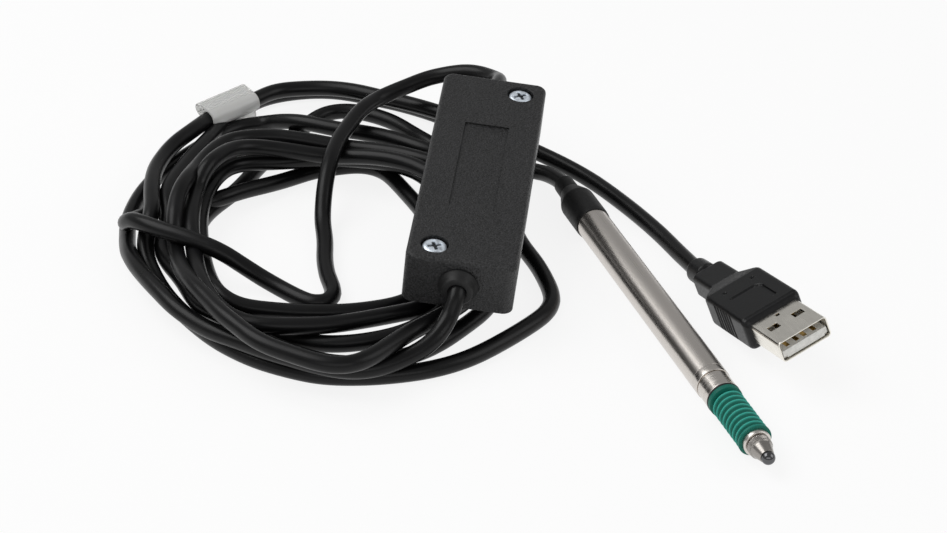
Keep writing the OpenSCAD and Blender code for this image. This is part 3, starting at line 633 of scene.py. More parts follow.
# From the box's front grommet, about three turns, then to the boot of the probe
PROBE_CORD = placed(
    case_point(0, -37.5, -GLAND_DROP), case_point(0, -39.5, -GLAND_DROP),
    case_point(0, -42, -GLAND_DROP),
) + laid(
    (-47.3, 5.1, 13), (-48.6, 3.7, 11.5), (-51, 1.5, 10), (-53.2, 0.1, 9), (-55.8, -1.4, 8),
    (-58.9, -1.4, 7), (-61.7, -2.1, 6.5), (-64.4, -2.1, 6), (-67.1, -2.2, 5.6), (-69.5, -1.7, 5.4),
    (-71.8, -0.9, 5.2), (-74.1, 0.2, 5.2), (-76.3, 2, 5), (-79.8, 4.9, 5), (-81.5, 6.7, 5),
    (-83.2, 8.5, 5), (-86.7, 11.9, 5), (-90.1, 15.9, 5), (-93.4, 20.1, 5), (-97.6, 25.1, 5),
    (-99.8, 29.3, 5), (-101.7, 32.9, 5.5), (-103.4, 36, 6), (-104.1, 39.6, 6), (-105.3, 44.4, 6),
    (-106.2, 50.2, 5.5), (-106.8, 55.3, 5), (-107, 61.7, 4), (-106.8, 68.2, 3),
    (-105.6, 75.2, 2.5), (-103.9, 81.9, 2), (-102.4, 85.3, 2), (-99.9, 90.5, 2), (-96.4, 96, 2),
    (-93.2, 100, 2), (-89.6, 103.5, 2), (-85.2, 107.3, 2), (-80.2, 111, 2), (-75.2, 114.5, 2),
    (-70.7, 117.7, 2), (-66.7, 119.1, 2), (-64, 118.9, 2.2), (-62.1, 118.2, 2.5), (-59, 118, 2.5),
    (-55.5, 116.1, 3), (-52, 114.4, 3), (-47.7, 110.9, 3), (-43.7, 106.3, 3.5), (-39.5, 102.5, 4),
    (-35.2, 99.1, 4), (-31.2, 95, 4), (-26.6, 88.8, 4), (-21, 84.4, 3), (-17.8, 75.9, 3),
    (-18.3, 64.1, 3), (-21.8, 50.4, 3), (-28.1, 35.4, 4), (-34.5, 24, 5), (-40.7, 16.5, 6),
    (-45.7, 12.2, 7), (-49.7, 9.5, 7.5), (-53.2, 7.3, 8), (-55.1, 6.5, 8), (-58.8, 4.2, 8.3),
    (-62.5, 1.8, 8.5), (-65.9, -0.3, 8.5), (-69.3, -2, 8.5), (-72.3, -2.8, 8.5),
    (-75.6, -2.4, 8.5), (-78.4, -0.7, 8.5), (-81.1, 1.8, 8.5), (-82.7, 3.8, 8.5),
    (-86.2, 7.7, 8.5), (-89.4, 12.5, 8.5), (-90.8, 15.7, 8.5), (-91.8, 20.5, 8), (-93.2, 24.1, 8),
    (-94.1, 29.4, 7.5), (-95, 35.3, 7), (-96.1, 40.3, 7), (-97, 46.2, 6.5), (-97.4, 51.4, 6.2),
    (-97.2, 56.8, 6), (-95.9, 64.3, 5.5), (-94.6, 68.4, 7), (-92.5, 75, 7), (-90.2, 80.7, 7),
    (-87.5, 85.8, 7), (-84.7, 90, 7), (-81.7, 94.2, 7), (-79.4, 95.9, 8.2), (-76, 99.3, 8.2),
    (-73, 101.2, 8.2), (-69.6, 101.4, 8.2), (-65.9, 100.9, 8.2), (-61.2, 99.4, 8.2),
    (-56.8, 96.6, 8.2), (-52.5, 93.6, 8.2), (-49.4, 90.9, 8.2), (-46.1, 88.7, 8.2),
    (-41.8, 86.1, 8.2), (-37.5, 83.3, 8.2), (-33.4, 79.8, 8.2), (-30.6, 76.5, 8.2),
    (-25.8, 73, 7.5), (-22.5, 66.1, 7.5), (-20, 60.6, 5), (-21.7, 48.6, 4), (-26, 34.3, 4),
    (-30.6, 24.2, 3), (-35.2, 17.2, 2.5), (-38.1, 15.2, 2.2), (-41.5, 13, 2), (-45.1, 10.6, 2),
    (-48.7, 8.4, 2), (-52.3, 6.7, 2), (-56.2, 5.5, 2), (-59.8, 5.1, 2), (-64.4, 5, 2),
    (-68.8, 5.7, 2), (-73, 7.1, 2), (-76.8, 9.7, 2), (-80.3, 13.4, 2), (-83.8, 17.5, 2),
    (-87, 22.6, 2), (-89.3, 27.1, 2), (-91.2, 30.6, 2.5), (-93.5, 34.2, 3), (-96, 37.3, 3),
    (-97.1, 40.5, 3), (-98, 47.5, 3.5), (-99.3, 54.2, 4), (-100, 57.7, 4), (-100.2, 61.8, 4.5),
    (-99, 67.6, 4.5), (-96.4, 73.8, 4), (-94.5, 78.6, 4), (-92.9, 85.5, 4), (-91.4, 90.1, 4),
    (-89.3, 94, 4), (-86.8, 97.8, 4), (-84.3, 101.4, 4), (-81.4, 105.5, 4), (-78.4, 109.4, 4),
    (-75.7, 112.8, 4), (-72.3, 118.2, 3.5), (-68.7, 122.4, 3), (-65.1, 126.1, 2.5),
    (-61.8, 128.4, 2.5), (-58.5, 130.8, 2.5), (-55.4, 131.4, 2.5), (-52.6, 131.7, 2.6),
    (-47.2, 131.4, 2.6), (-42.1, 130.2, 2.6), (-37.3, 127.9, 2.6), (-32.9, 124.4, 2.6),
    (-28.6, 120.5, 2.6), (-24.4, 116.5, 2.6), (-20.5, 111.9, 2.6), (-17.6, 108.1, 2.6),
    (-13.3, 100.7, 2.6), (-10.2, 90.2, 2.6), (-7.5, 78.9, 2.6), (-4.1, 72.4, 2.6),
) + placed(
    (-2, 70, 3), (-0.5, 65, 3.8), (0, 61, 4.3), (0, 58, 4.3), (0, 55, 4.3),
)

# From the box's rear grommet over the bundle, down into it and sharply back up over its left side,
# then about four and a half turns, through the marker sleeve and on to the plug
USB_CORD = placed(
    case_point(0, 37.5, -GLAND_DROP), case_point(0, 39.5, -GLAND_DROP),
    case_point(0, 42, -GLAND_DROP),
    (-7.6, 87.5, 20.6), (-6.3, 92.5, 18.6), (-7.6, 98, 17.4), (-10, 101.4, 16.9),
    (-12.9, 104, 16), (-16.4, 105.8, 15), (-20.3, 106.6, 14.2), (-24.8, 106, 13.5),
    (-29, 105.4, 12.8), (-33.5, 104.5, 12), (-39.7, 99.4, 12.4), (-44.9, 93.3, 12.1),
    (-49.6, 86.8, 11.8), (-53.9, 79.3, 10.8), (-57.4, 72.2, 8), (-60, 65.5, 3.8),
    (-61.8, 57.5, 2.4), (-64, 50, 2), (-65.3, 43.5, 2), (-65.8, 38, 2), (-66.6, 34.4, 2),
    (-69, 32.3, 2), (-72, 33, 2), (-74.6, 36.6, 2), (-77.7, 41, 2.6), (-81, 44.6, 4),
    (-84.5, 48, 6), (-88.5, 50.8, 8.6), (-94.6, 55.5, 10.6), (-100, 60.3, 11.3),
    (-103.4, 64.6, 11.3), (-105.3, 68.8, 10.2),
    (-106.1, 71.5, 8.4), (-105.8, 73.7, 6.8), (-103.5, 76.6, 5.5),
) + laid(
    (-98.8, 81.2, 3.8), (-93.5, 84.4, 2.6),
    (-90.4, 85.1, 2), (-85.6, 84.6, 2), (-82.1, 84.6, 2), (-78.3, 85.6, 2), (-75.1, 86.5, 2),
    (-72.4, 87.2, 2), (-69.7, 87.5, 2), (-67.1, 87.9, 2), (-64.4, 88.5, 2), (-61.6, 89.2, 2),
    (-58.8, 90, 2), (-56.1, 90.7, 2), (-53.4, 91.1, 2), (-48.3, 90.6, 2), (-45.8, 90.6, 2),
    (-43.3, 90, 2), (-41.2, 88.4, 2), (-38.7, 85.5, 2), (-37.8, 81.7, 2), (-37.1, 77.6, 2),
    (-36.5, 72.7, 2), (-35.9, 67.4, 2), (-35.5, 60.3, 2), (-36, 51.6, 2), (-38.2, 42.8, 2),
    (-42.3, 34.1, 2.5), (-47.7, 27.4, 3), (-52.1, 25.5, 2.5), (-53.4, 25.2, 2.5),
    (-58.2, 25.1, 2.5), (-62.8, 25.4, 2.5), (-67.3, 26.3, 2.5), (-71.6, 27.6, 2.5),
    (-75.8, 29.2, 2.5), (-80, 31.3, 2.5), (-83.6, 33.4, 2.5), (-87, 35.7, 2.5), (-89.3, 38.5, 2.5),
    (-91.2, 39.8, 4), (-91.9, 44.6, 4), (-91.9, 50.5, 4), (-91.1, 57.6, 4), (-89.8, 64.8, 4),
    (-88.4, 71.1, 4), (-86.4, 77.7, 4.3), (-83.6, 83.8, 4.3), (-80.4, 88.8, 4.3),
    (-76.8, 93.3, 4.3), (-73.1, 95.7, 4.3), (-68.8, 95.3, 4.3), (-64.7, 94.4, 4.3),
    (-60.4, 93.4, 4.3), (-55.4, 92.8, 4.3), (-50.6, 91.7, 4.3), (-46, 89.6, 4.3),
    (-41.4, 87.5, 4.3), (-38.3, 85, 4.3), (-34.6, 81.9, 4.3), (-31.2, 75.5, 4.3), (-29.8, 68.9, 4),
    (-30.1, 60.3, 4), (-32.1, 50.7, 4), (-35, 42.8, 3), (-39.5, 33.7, 3.5), (-44.4, 26.4, 4),
    (-49.5, 19, 4.5), (-53.7, 18.9, 4.5), (-58.7, 18.6, 4.5), (-63, 18.7, 4.5), (-67.3, 18.9, 4.5),
    (-71.6, 19.3, 4.5), (-75.9, 20.4, 4.5), (-80.2, 21.8, 4.5), (-84.3, 23.5, 4.5),
    (-87.3, 25.2, 4.5), (-90.1, 27.7, 4.5), (-92.8, 29.5, 6.2), (-94.2, 35.9, 6.2),
    (-94.5, 43.1, 6.2), (-94, 51.2, 6.2), (-92.6, 59.6, 6.2), (-91, 67.1, 6.2), (-88.8, 74.8, 6.4),
    (-86.3, 81.5, 6.4), (-83.3, 87.6, 6.4), (-80.2, 92.2, 6.4), (-77, 95.8, 6.4),
    (-73.8, 98.4, 6.4), (-70.7, 99.5, 6.4), (-67.8, 99, 6.4), (-64.4, 97.3, 6.4),
    (-59.9, 94.7, 6.4), (-55.6, 91.8, 6.4), (-52.4, 89.7, 6.4), (-47.7, 87.8, 6.4),
    (-43.1, 86, 6.4), (-38.8, 83.4, 6.4), (-35.1, 80.3, 6.4), (-31.4, 74.8, 6.4), (-28.7, 68.4, 6),
    (-27.8, 59.5, 6), (-29.3, 49.1, 6), (-31.3, 41.8, 4), (-35.9, 31.3, 4.5), (-40.9, 23.1, 5),
    (-44.1, 19.9, 2.6), (-47.3, 17.7, 2.6), (-51.2, 15.6, 2.6), (-55, 13.9, 2.6), (-59.8, 13, 2.6),
    (-64.5, 12.9, 2.6), (-68.9, 13.4, 2.6), (-73.1, 14.5, 2.6), (-77.1, 16.6, 2.6),
    (-80.9, 19.6, 2.6), (-84.7, 22.6, 2.6), (-87.3, 25.6, 2.6), (-89.3, 28.5, 3), (-90.7, 35, 2.5),
    (-91.7, 43.3, 2), (-92.2, 51.6, 2), (-91.7, 60.3, 2), (-90.5, 68.5, 2), (-87.8, 75.4, 2),
    (-84.4, 80.1, 2), (-80.3, 83.8, 2), (-75.7, 87.8, 2), (-71.5, 92.6, 2), (-67, 97.9, 2),
    (-61.5, 103.8, 2), (-56.2, 109.1, 2), (-51.5, 113.3, 2), (-47.4, 116.7, 2), (-44.1, 118.7, 2),
    (-41.3, 119, 2), (-38.8, 118.6, 2), (-35.3, 116.5, 2), (-32.2, 113.4, 2), (-29.3, 109.6, 2),
    (-27.7, 106.2, 2), (-26.3, 102.4, 2), (-24.8, 98.5, 2), (-23.3, 95, 2), (-20.4, 87.7, 2),
    (-17.6, 78.7, 2), (-16.3, 68.9, 2), (-16.4, 59.2, 2), (-17, 51, 2), (-18, 43.5, 2),
    (-18, 37.3, 2), (-17.8, 31.6, 2), (-18.2, 25.2, 2), (-19, 19.1, 2), (-20.3, 15.1, 2),
    (-23, 11.6, 2), (-26.6, 9.1, 2), (-31.7, 6.1, 2), (-36.9, 3.5, 2), (-42.5, 1, 2),
    (-47.7, -0.6, 2), (-52.6, -1.3, 2), (-57.2, -1.4, 2), (-61.7, -0.9, 2), (-66, -0.2, 2),
    (-72.3, 1.6, 2), (-78.3, 4.2, 2), (-82.1, 7, 2), (-85.7, 10.3, 2), (-89.3, 14, 2),
    (-93.6, 20.2, 2), (-95.8, 24.2, 2), (-97.8, 28.9, 2), (-100.4, 37, 2), (-102.5, 46.1, 2),
    (-103.3, 54.6, 2), (-103.2, 62.4, 2), (-102.7, 67.6, 3), (-101.3, 71.2, 4.5), (-100, 73.5, 6),
    (-98.4, 77.5, 6.2), (-97, 83.3, 6), (-94.5, 93.5, 5.5), (-92.3, 99.6, 5.2), (-88.8, 105.7, 5),
    (-85.4, 109.7, 5.4), (-82.4, 112, 5.8), (-79.2, 114.3, 6),
) + placed(
    (-75.5, 118, 6), (-71, 120.1, 6), (-65.5, 122.7, 6), (-61, 124.8, 6),
) + laid(
    (-54.8, 127.8, 6), (-52.2, 127.8, 5.9), (-48.2, 127.3, 5.8), (-43.2, 126, 5.8),
    (-38.6, 123.4, 6), (-34.1, 120.1, 6), (-30, 115.8, 6), (-25.9, 111.7, 6), (-21.9, 107.2, 6),
    (-19.1, 103.7, 6), (-14.2, 98, 5.6), (-8.1, 92.5, 4), (-3.2, 87.4, 2.5),
    (4.5, 74, 2), (8.5, 64, 2), (11.2, 54, 2), (13.3, 44, 2), (14.85, 34, 2),
) + placed(
    (15.45, 25, 2.35), plug_point(0, PLUG_NECK_END, -2.25),
    plug_point(0, PLUG_NECK_END - 2, -2.25), plug_point(0, PLUG_NECK_END - 4, -2.25),
)


# Points worked out between two points of a smooth line
SPAN_POINTS = 24


def even(line, spacing):
    """A line of points cut again into equal steps of about the spacing."""
    along = np.concatenate(((0,), np.cumsum(np.linalg.norm(np.diff(line[:, :3], axis=0), axis=1))))
    steps = max(2, int(round(along[-1] / spacing)))
    at = np.linspace(0, along[-1], steps + 1)
    return np.stack([np.interp(at, along, line[:, k]) for k in range(line.shape[1])], axis=1)


def smooth_line(points, spacing):
    """Centripetal Catmull-Rom curve through the points: each span blends the lines through its
    four nearest points, with knots at the square root of their distances."""
    p = np.array(points, float)
    p = np.vstack((2 * p[0] - p[1], p, 2 * p[-1] - p[-2]))
    step = np.linalg.norm(np.diff(p[:, :3], axis=0), axis=1) ** 0.5
    knots = np.concatenate(((0,), np.cumsum(step)))
    spans = []
    for i in range(1, len(p) - 2):
        t0, t1, t2, t3 = knots[i - 1:i + 3]
        t = np.linspace(t1, t2, SPAN_POINTS, endpoint=False)[:, None]
        a1 = (t1 - t) / (t1 - t0) * p[i - 1] + (t - t0) / (t1 - t0) * p[i]
        a2 = (t2 - t) / (t2 - t1) * p[i] + (t - t1) / (t2 - t1) * p[i + 1]
        a3 = (t3 - t) / (t3 - t2) * p[i + 1] + (t - t2) / (t3 - t2) * p[i + 2]
        b1 = (t2 - t) / (t2 - t0) * a1 + (t - t0) / (t2 - t0) * a2
        b2 = (t3 - t) / (t3 - t1) * a2 + (t - t1) / (t3 - t1) * a3
        spans.append((t2 - t) / (t2 - t1) * b1 + (t - t1) / (t2 - t1) * b2)
    return even(np.vstack(spans + [p[-2:-1]]), spacing)


# Steps along a cord in millimetres: while it settles, between the knots of its final curve, and
# between the rings of its mesh
STEP, KNOT_STEP, RING_STEP = 2.0, 3.0, 1.3
# How a push is spread over the points next to it
SPREAD = np.array((1, 2, 3, 4, 5, 6, 5, 4, 3, 2, 1)) / 36 * 1.3
# How many points apart wobble and moves are evened out, and how much of it in a round
STRIDES = ((1, 0.35), (2, 0.1))
MOVE_STRIDES = ((1, 0.5), (3, 0.25))
# Of each round: the share of a push that is followed, how far the cords sink in millimetres, and
# how fast the evening out weakens and what is left of it
PUSHED, SINKING = 0.9, 0.004
STIFF_FALL, LEAST_STIFF = 1.3, 0.15
# How far apart along SIGHT a pair counts in full, and from where on it needs no others
SURE_SHARE, SURE_ALONE = 3, 4
# Points this close along one cord don't push each other, and so many are compared at a time
SAME_STRAND, BATCH = 8, 400
# Half the air between cords, the room round a cord in the marker sleeve, and how far from the
# sleeve's middle that room reaches: along the sleeve and across it
CORD_GAP, SLEEVE_ROOM, SLEEVE_REACH, SLEEVE_ASIDE = 0.05, 2.85, 8, 3.5
# The air kept round the box and under it, and the share of what is too high that a round takes off
BOX_MARGIN, BOX_GAP, BOX_PUSH = 1.5, 0.1, 0.6


def eased(p, stride, share):
    """Points moved by a share towards (-a + 4 b + 4 c - d) / 6 of the points that lie two and one
    strides before and after them, which takes out wobble and keeps even bends."""
    s = stride
    out = p.copy()
    middle = (-p[:-4 * s] + 4 * p[s:-3 * s] + 4 * p[3 * s:-s] - p[4 * s:]) / 6
    out[2 * s:-2 * s] += share[2 * s:-2 * s, None] * (middle - p[2 * s:-2 * s])
    return out


def calmed(line, rounds=4):
    """A traced line whose wobble is evened out, apart from the places that it must keep."""
    p, hold = line[:, :3].copy(), line[:, 3]
    for _ in range(rounds):
        for stride, share in STRIDES:
            p = eased(p, stride, share * (1 - hold))
    return np.column_stack((p, hold))


def run_order(a, b, ahead, count, reach=12):
    """Which point of each pair lies nearer to the viewer: the sign of the traced difference, summed
    over all pairs within reach on both strands, so that it doesn't change within one crossing,
    or the pair's own where that is large."""
    table = np.zeros((count, count))
    table[a, b] = np.clip(ahead, -SURE_SHARE, SURE_SHARE)
    wide = 2 * reach + 1
    sums = np.pad(table, ((reach + 1, reach), (reach + 1, reach))).cumsum(0).cumsum(1)
    total = sums[wide:, wide:] - sums[:-wide, wide:] - sums[wide:, :-wide] + sums[:-wide, :-wide]
    return np.where(np.where(abs(ahead) > SURE_ALONE, ahead, total[a, b]) > 0, 1.0, -1.0)


def room_round(p, radius, in_sleeve):
    """Radius that stays free round each point: the cord's, or the marker sleeve's where the cord
    runs in it."""
    turn = math.radians(SLEEVE_TURN)
    along = np.array((math.cos(turn), math.sin(turn), 0))
    offset = p - SLEEVE_AT + (0, 0, FLOOR)
    reach = offset @ along
    aside = np.linalg.norm(offset - reach[:, None] * along, axis=1)
    room = np.full(len(p), radius + CORD_GAP)
    room[in_sleeve & (abs(reach) < SLEEVE_REACH) & (aside < SLEEVE_ASIDE)] = SLEEVE_ROOM
    return room


def close_pairs(across, room, cord, index):
    """Pairs of points that lie closer together across SIGHT than their rooms, apart from those
    that follow one another on the same cord."""
    a, b = [], []
    for start in range(0, len(across), BATCH):
        rows = np.arange(start, min(start + BATCH, len(across)))
        apart = np.linalg.norm(across[rows, None] - across[None], axis=2)
        near = np.argwhere(apart < room[rows, None] + room[None])
        a.append(rows[near[:, 0]])
        b.append(near[:, 1])
    a, b = np.concatenate(a), np.concatenate(b)
    keep = (a < b) & ~((cord[a] == cord[b]) & (abs(index[a] - index[b]) < SAME_STRAND))
    return a[keep], b[keep]


def into_box(p, radius):
    """How far each point is above the height at which a cord clears the box's underside, or 0
    where it isn't inside the box's outline."""
    sizes = bpy.context.scene.box_sizes
    half = np.array((sizes.width, sizes.long)) / MM / 2 + BOX_MARGIN
    q = (p - (CASE_AT - (0, 0, FLOOR))) @ turn_matrix(CASE_TURN)
    over = q[:, 2] - (-sizes.height / MM - radius - BOX_GAP)
    inside = (abs(q[:, 0]) < half[0]) & (abs(q[:, 1]) < half[1]) & (q[:, 2] < 0)
    return np.where(inside & (over > 0), over, 0)


def settle(lines, radius, rounds=1200):
    """Lets the cords lie down. Every point moves along SIGHT alone. Two points that lie closer
    together across that line than the cords are thick must lie apart along it by
    sqrt(gap^2 - across^2), in the order in which they were traced. In each round such pairs are
    pushed apart by halves, the push is spread along the cord, the moves are evened out, the weight
    sinks a little, and the floor, the box, the ends and the marker sleeve are kept."""
    p = np.vstack([calmed(line) for line in lines])
    hold = p[:, 3].copy()
    p = p[:, :3].copy()
    free = (hold < 0.5).astype(float)
    cord = np.concatenate([np.full(len(line), k) for k, line in enumerate(lines)])
    index = np.concatenate([np.arange(len(line)) for line in lines])
    cuts = np.cumsum([len(line) for line in lines])
    parts = [slice(end - len(line), end) for end, line in zip(cuts, lines)]
    depth = p @ SIGHT
    across = p - depth[:, None] * SIGHT
    room = room_round(p, radius, (cord == 1) & (hold > 0))
    a, b = close_pairs(across, room, cord, index)
    gap = room[a] + room[b]
    need = np.sqrt(np.maximum(gap ** 2 - ((across[a] - across[b]) ** 2).sum(1), 0))
    order = run_order(a, b, depth[a] - depth[b], len(p))
    low = (radius - p[:, 2]) / SIGHT[2]
    move = np.zeros(len(p))
    for done in range(rounds):
        lack = need - order * (depth[a] + move[a] - depth[b] - move[b])
        hit = lack > 0
        push = 0.5 * lack[hit] * order[hit]
        shove, hits = np.zeros(len(p)), np.zeros(len(p))
        for points, sign in ((a[hit], 1), (b[hit], -1)):
            np.add.at(shove, points, sign * push)
            np.add.at(hits, points, 1)
        shove *= free / np.maximum(hits, 1)
        for part in parts:
            padded = np.pad(shove[part], len(SPREAD) // 2, mode="edge")
            shove[part] = np.convolve(padded, SPREAD, "valid")
        move += free * (PUSHED * shove - SINKING)
        stiff = max(LEAST_STIFF, 1 - STIFF_FALL * done / rounds)
        for part in parts:
            m, loose = move[part], free[part]
            for s, share in MOVE_STRIDES:
                mean = 0.5 * (m[:-2 * s] + m[2 * s:])
                m[s:-s] += stiff * share * loose[s:-s] * (mean - m[s:-s])
        move = np.maximum(move, low) * free
        move -= BOX_PUSH * free * into_box(p + move[:, None] * SIGHT, radius)
        move = np.maximum(move, low) * free
    p = p + move[:, None] * SIGHT
    p[:, 2] = np.maximum(p[:, 2], radius)
    return [p[part] for part in parts]


def frames_along(path):
    """Two sideways directions at each point of a path, carried along it without twist: each is the
    last one, less its part along the new direction."""
    along = np.gradient(path, axis=0)
    along /= np.linalg.norm(along, axis=1)[:, None]
    side = np.zeros_like(path)
    side[0] = np.cross(along[0], (0, 0, 1))
    for i in range(1, len(path)):
        side[i] = side[i - 1] - along[i] * (side[i - 1] @ along[i])
        side[i] /= np.linalg.norm(side[i])
    side[0] /= np.linalg.norm(side[0])
    return side, np.cross(along, side)


def cord_piece(name, path, radius, sides):
    """A tube: point = path(u) + radius (cos v side(u) + sin v up(u)), closed by a fan at each end,
    with u in metres and v in turns as its UV map."""
    side, up = frames_along(path)
    v = np.linspace(0, 2 * math.pi, sides, endpoint=False)
    ring = np.cos(v)[None, :, None] * side[:, None, :] + np.sin(v)[None, :, None] * up[:, None, :]
    points = (path[:, None, :] + radius * ring).reshape(-1, 3)
    quads = grid_faces(len(path), sides)
    points = np.vstack((points, path[0], path[-1]))
    tris = np.vstack((
        fan(np.arange(sides)[::-1], len(points) - 2),
        fan(np.arange(sides) + (len(path) - 1) * sides, len(points) - 1)))
    run = np.concatenate(((0,), np.cumsum(np.linalg.norm(np.diff(path, axis=0), axis=1)))) * MM
    row, column = np.divmod(np.arange(len(quads)), sides)
    u = np.stack((run[row], run[row], run[row + 1], run[row + 1]), -1)
    w = np.stack((column, column + 1, column + 1, column), -1) / sides
    uv = np.stack((u, w), -1), np.zeros((len(tris), 3, 2))
    return make_piece(name, points, quads, tris, uv=uv, weighted=False, sharp=60)


class CordsOperator(bpy.types.Operator):
    """Lays both cords through their places and lets them settle"""

    bl_idname = "measuring_probe.cords"
    bl_label = "Cords"

    def execute(self, context):
        sizes = context.scene.cord_sizes
        radius = sizes.diameter / MM / 2
        lines = [smooth_line(route, STEP) for route in (PROBE_CORD, USB_CORD)]
        jacket = cord_jacket()
        for name, line in zip(("probe_cord", "usb_cord"), settle(lines, radius)):
            line[:, 2] += FLOOR
            path = smooth_line(even(line, KNOT_STEP), RING_STEP)
            piece = cord_piece(name, path, radius, sizes.sides)
            finish_piece(piece, jacket)
        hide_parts("probe_lead", "front_lead", "cable_coil")
        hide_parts("usb_lead", "rear_lead")
        return {"FINISHED"}


# ---------------------------------------------------------------- stage

# Where the camera stands and the middle of its view, in millimetres
EYE = (-193.3, -432.2, 307.0)
AIM = (-31.0, 38.8, -4.3)
# The soft lights: where each stands, its width and height in metres, and its share of the main
# light's strength. All of them face the same spot.
LAMPS = (
    ("Key", (-420, 250, 620), (0.7, 0.5), 1.0),
    ("Fill", (520, -260, 420), (0.5, 0.5), 0.35),
    ("Front", (-260, -640, 380), (0.9, 0.3), 0.3),
)
LIT = (-20, 30, 0)
# Half the width of the white sheet, and the share of it that glows
FLOOR_REACH = 3000
FLOOR_GLOW = 0.86


def looking(at, to):
    """Matrix of something that stands at one point and looks at another, with up along +Z."""
    at, to = Vector(at) * MM, Vector(to) * MM
    return Matrix.Translation(at) @ (to - at).to_track_quat("-Z", "Y").to_matrix().to_4x4()


class StageOperator(bpy.types.Operator):
    """Sets the camera at the photograph's angle over a white floor in soft light"""

    bl_idname = "measuring_probe.stage"
    bl_label = "Stage"

    def execute(self, context):
        scene = context.scene
        sizes = scene.stage_sizes
        camera = bpy.data.cameras.new("View")
        camera.sensor_width = 36
        camera.lens = sizes.lens
        camera.clip_start = 0.01
        viewer = bpy.data.objects.new("View", camera)
        scene.collection.objects.link(viewer)
        viewer.matrix_world = looking(EYE, AIM)
        scene.camera = viewer
        scene.view_settings.view_transform = "Standard"
        self.floor()
        self.surround(scene, sizes.daylight)
        for name, at, (width, height), share in LAMPS:
            light = bpy.data.lights.new(name, "AREA")
            light.shape = "RECTANGLE"
            light.size, light.size_y = width, height
            light.energy = share * sizes.key
            lamp = bpy.data.objects.new(name, light)
            scene.collection.objects.link(lamp)
            lamp.matrix_world = looking(at, LIT)
        return {"FINISHED"}

    def floor(self):
        """A flat white sheet under the part that shows white but keeps its shadow: seen by the
        camera, in a mirror or through the sleeve, most of it glows."""
        corners = ((-1, -1), (1, -1), (1, 1), (-1, 1))
        points = [(x * FLOOR_REACH, y * FLOOR_REACH, FLOOR) for x, y in corners]
        sheet = make_piece("floor", points, quads=[(0, 1, 2, 3)], closed=False, weighted=False)
        f = Finish("White sheet", (0.95, 0.95, 0.95), 0.9, Specular_IOR_Level=0.1)
        f.tinted(f.noise(3), 0.3, 0.7, 0.99, 1.01)
        ray = f.node("LightPath").outputs
        seen = f.worked_out("MAXIMUM", ray["Is Camera Ray"], ray["Is Glossy Ray"])
        seen = f.worked_out("MAXIMUM", seen, ray["Is Transmission Ray"])
        mix = f.node("MixShader", Fac=f.worked_out("MULTIPLY", seen, FLOOR_GLOW))
        f.feed(mix.inputs[1], f.shader.outputs[0])
        f.feed(mix.inputs[2], f.node("Emission").outputs[0])
        f.feed(f.output.inputs["Surface"], mix.outputs[0])
        sheet.data.materials.append(f.material)

    def surround(self, scene, strength):
        """Even light from all round, seen as plain white by the camera."""
        world = bpy.data.worlds.new("Surround")
        world.use_nodes = True
        nodes, links = world.node_tree.nodes, world.node_tree.links
        nodes.clear()
        output, mix = nodes.new("ShaderNodeOutputWorld"), nodes.new("ShaderNodeMixShader")
        dim, white = nodes.new("ShaderNodeBackground"), nodes.new("ShaderNodeBackground")
        for light in (dim, white):
            light.inputs["Color"].default_value = (1, 1, 1, 1)
        dim.inputs["Strength"].default_value = strength
        ray = nodes.new("ShaderNodeLightPath")
        links.new(ray.outputs["Is Camera Ray"], mix.inputs[0])
        links.new(dim.outputs[0], mix.inputs[1])
        links.new(white.outputs[0], mix.inputs[2])
        links.new(mix.outputs[0], output.inputs["Surface"])
        scene.world = world


# ---------------------------------------------------------------- probe

# The stem's wall, the step under the boot and the depth of the line between flange and collar; then
# the nose piece's radii, the stations inside it, and the radius of the boot's bore
STEM_WALL, BOOT_SEAT_STEP, LINE_DEPTH = 0.6, 0.3, 0.3
NOSE_BORE, BUSH_SEAT_R, SPIGOT_R = 1.8, 2.9, 3.0
Y_BUSH_SEAT, Y_TAIL = -33.9, -9.9
BOOT_BORE = 1.9


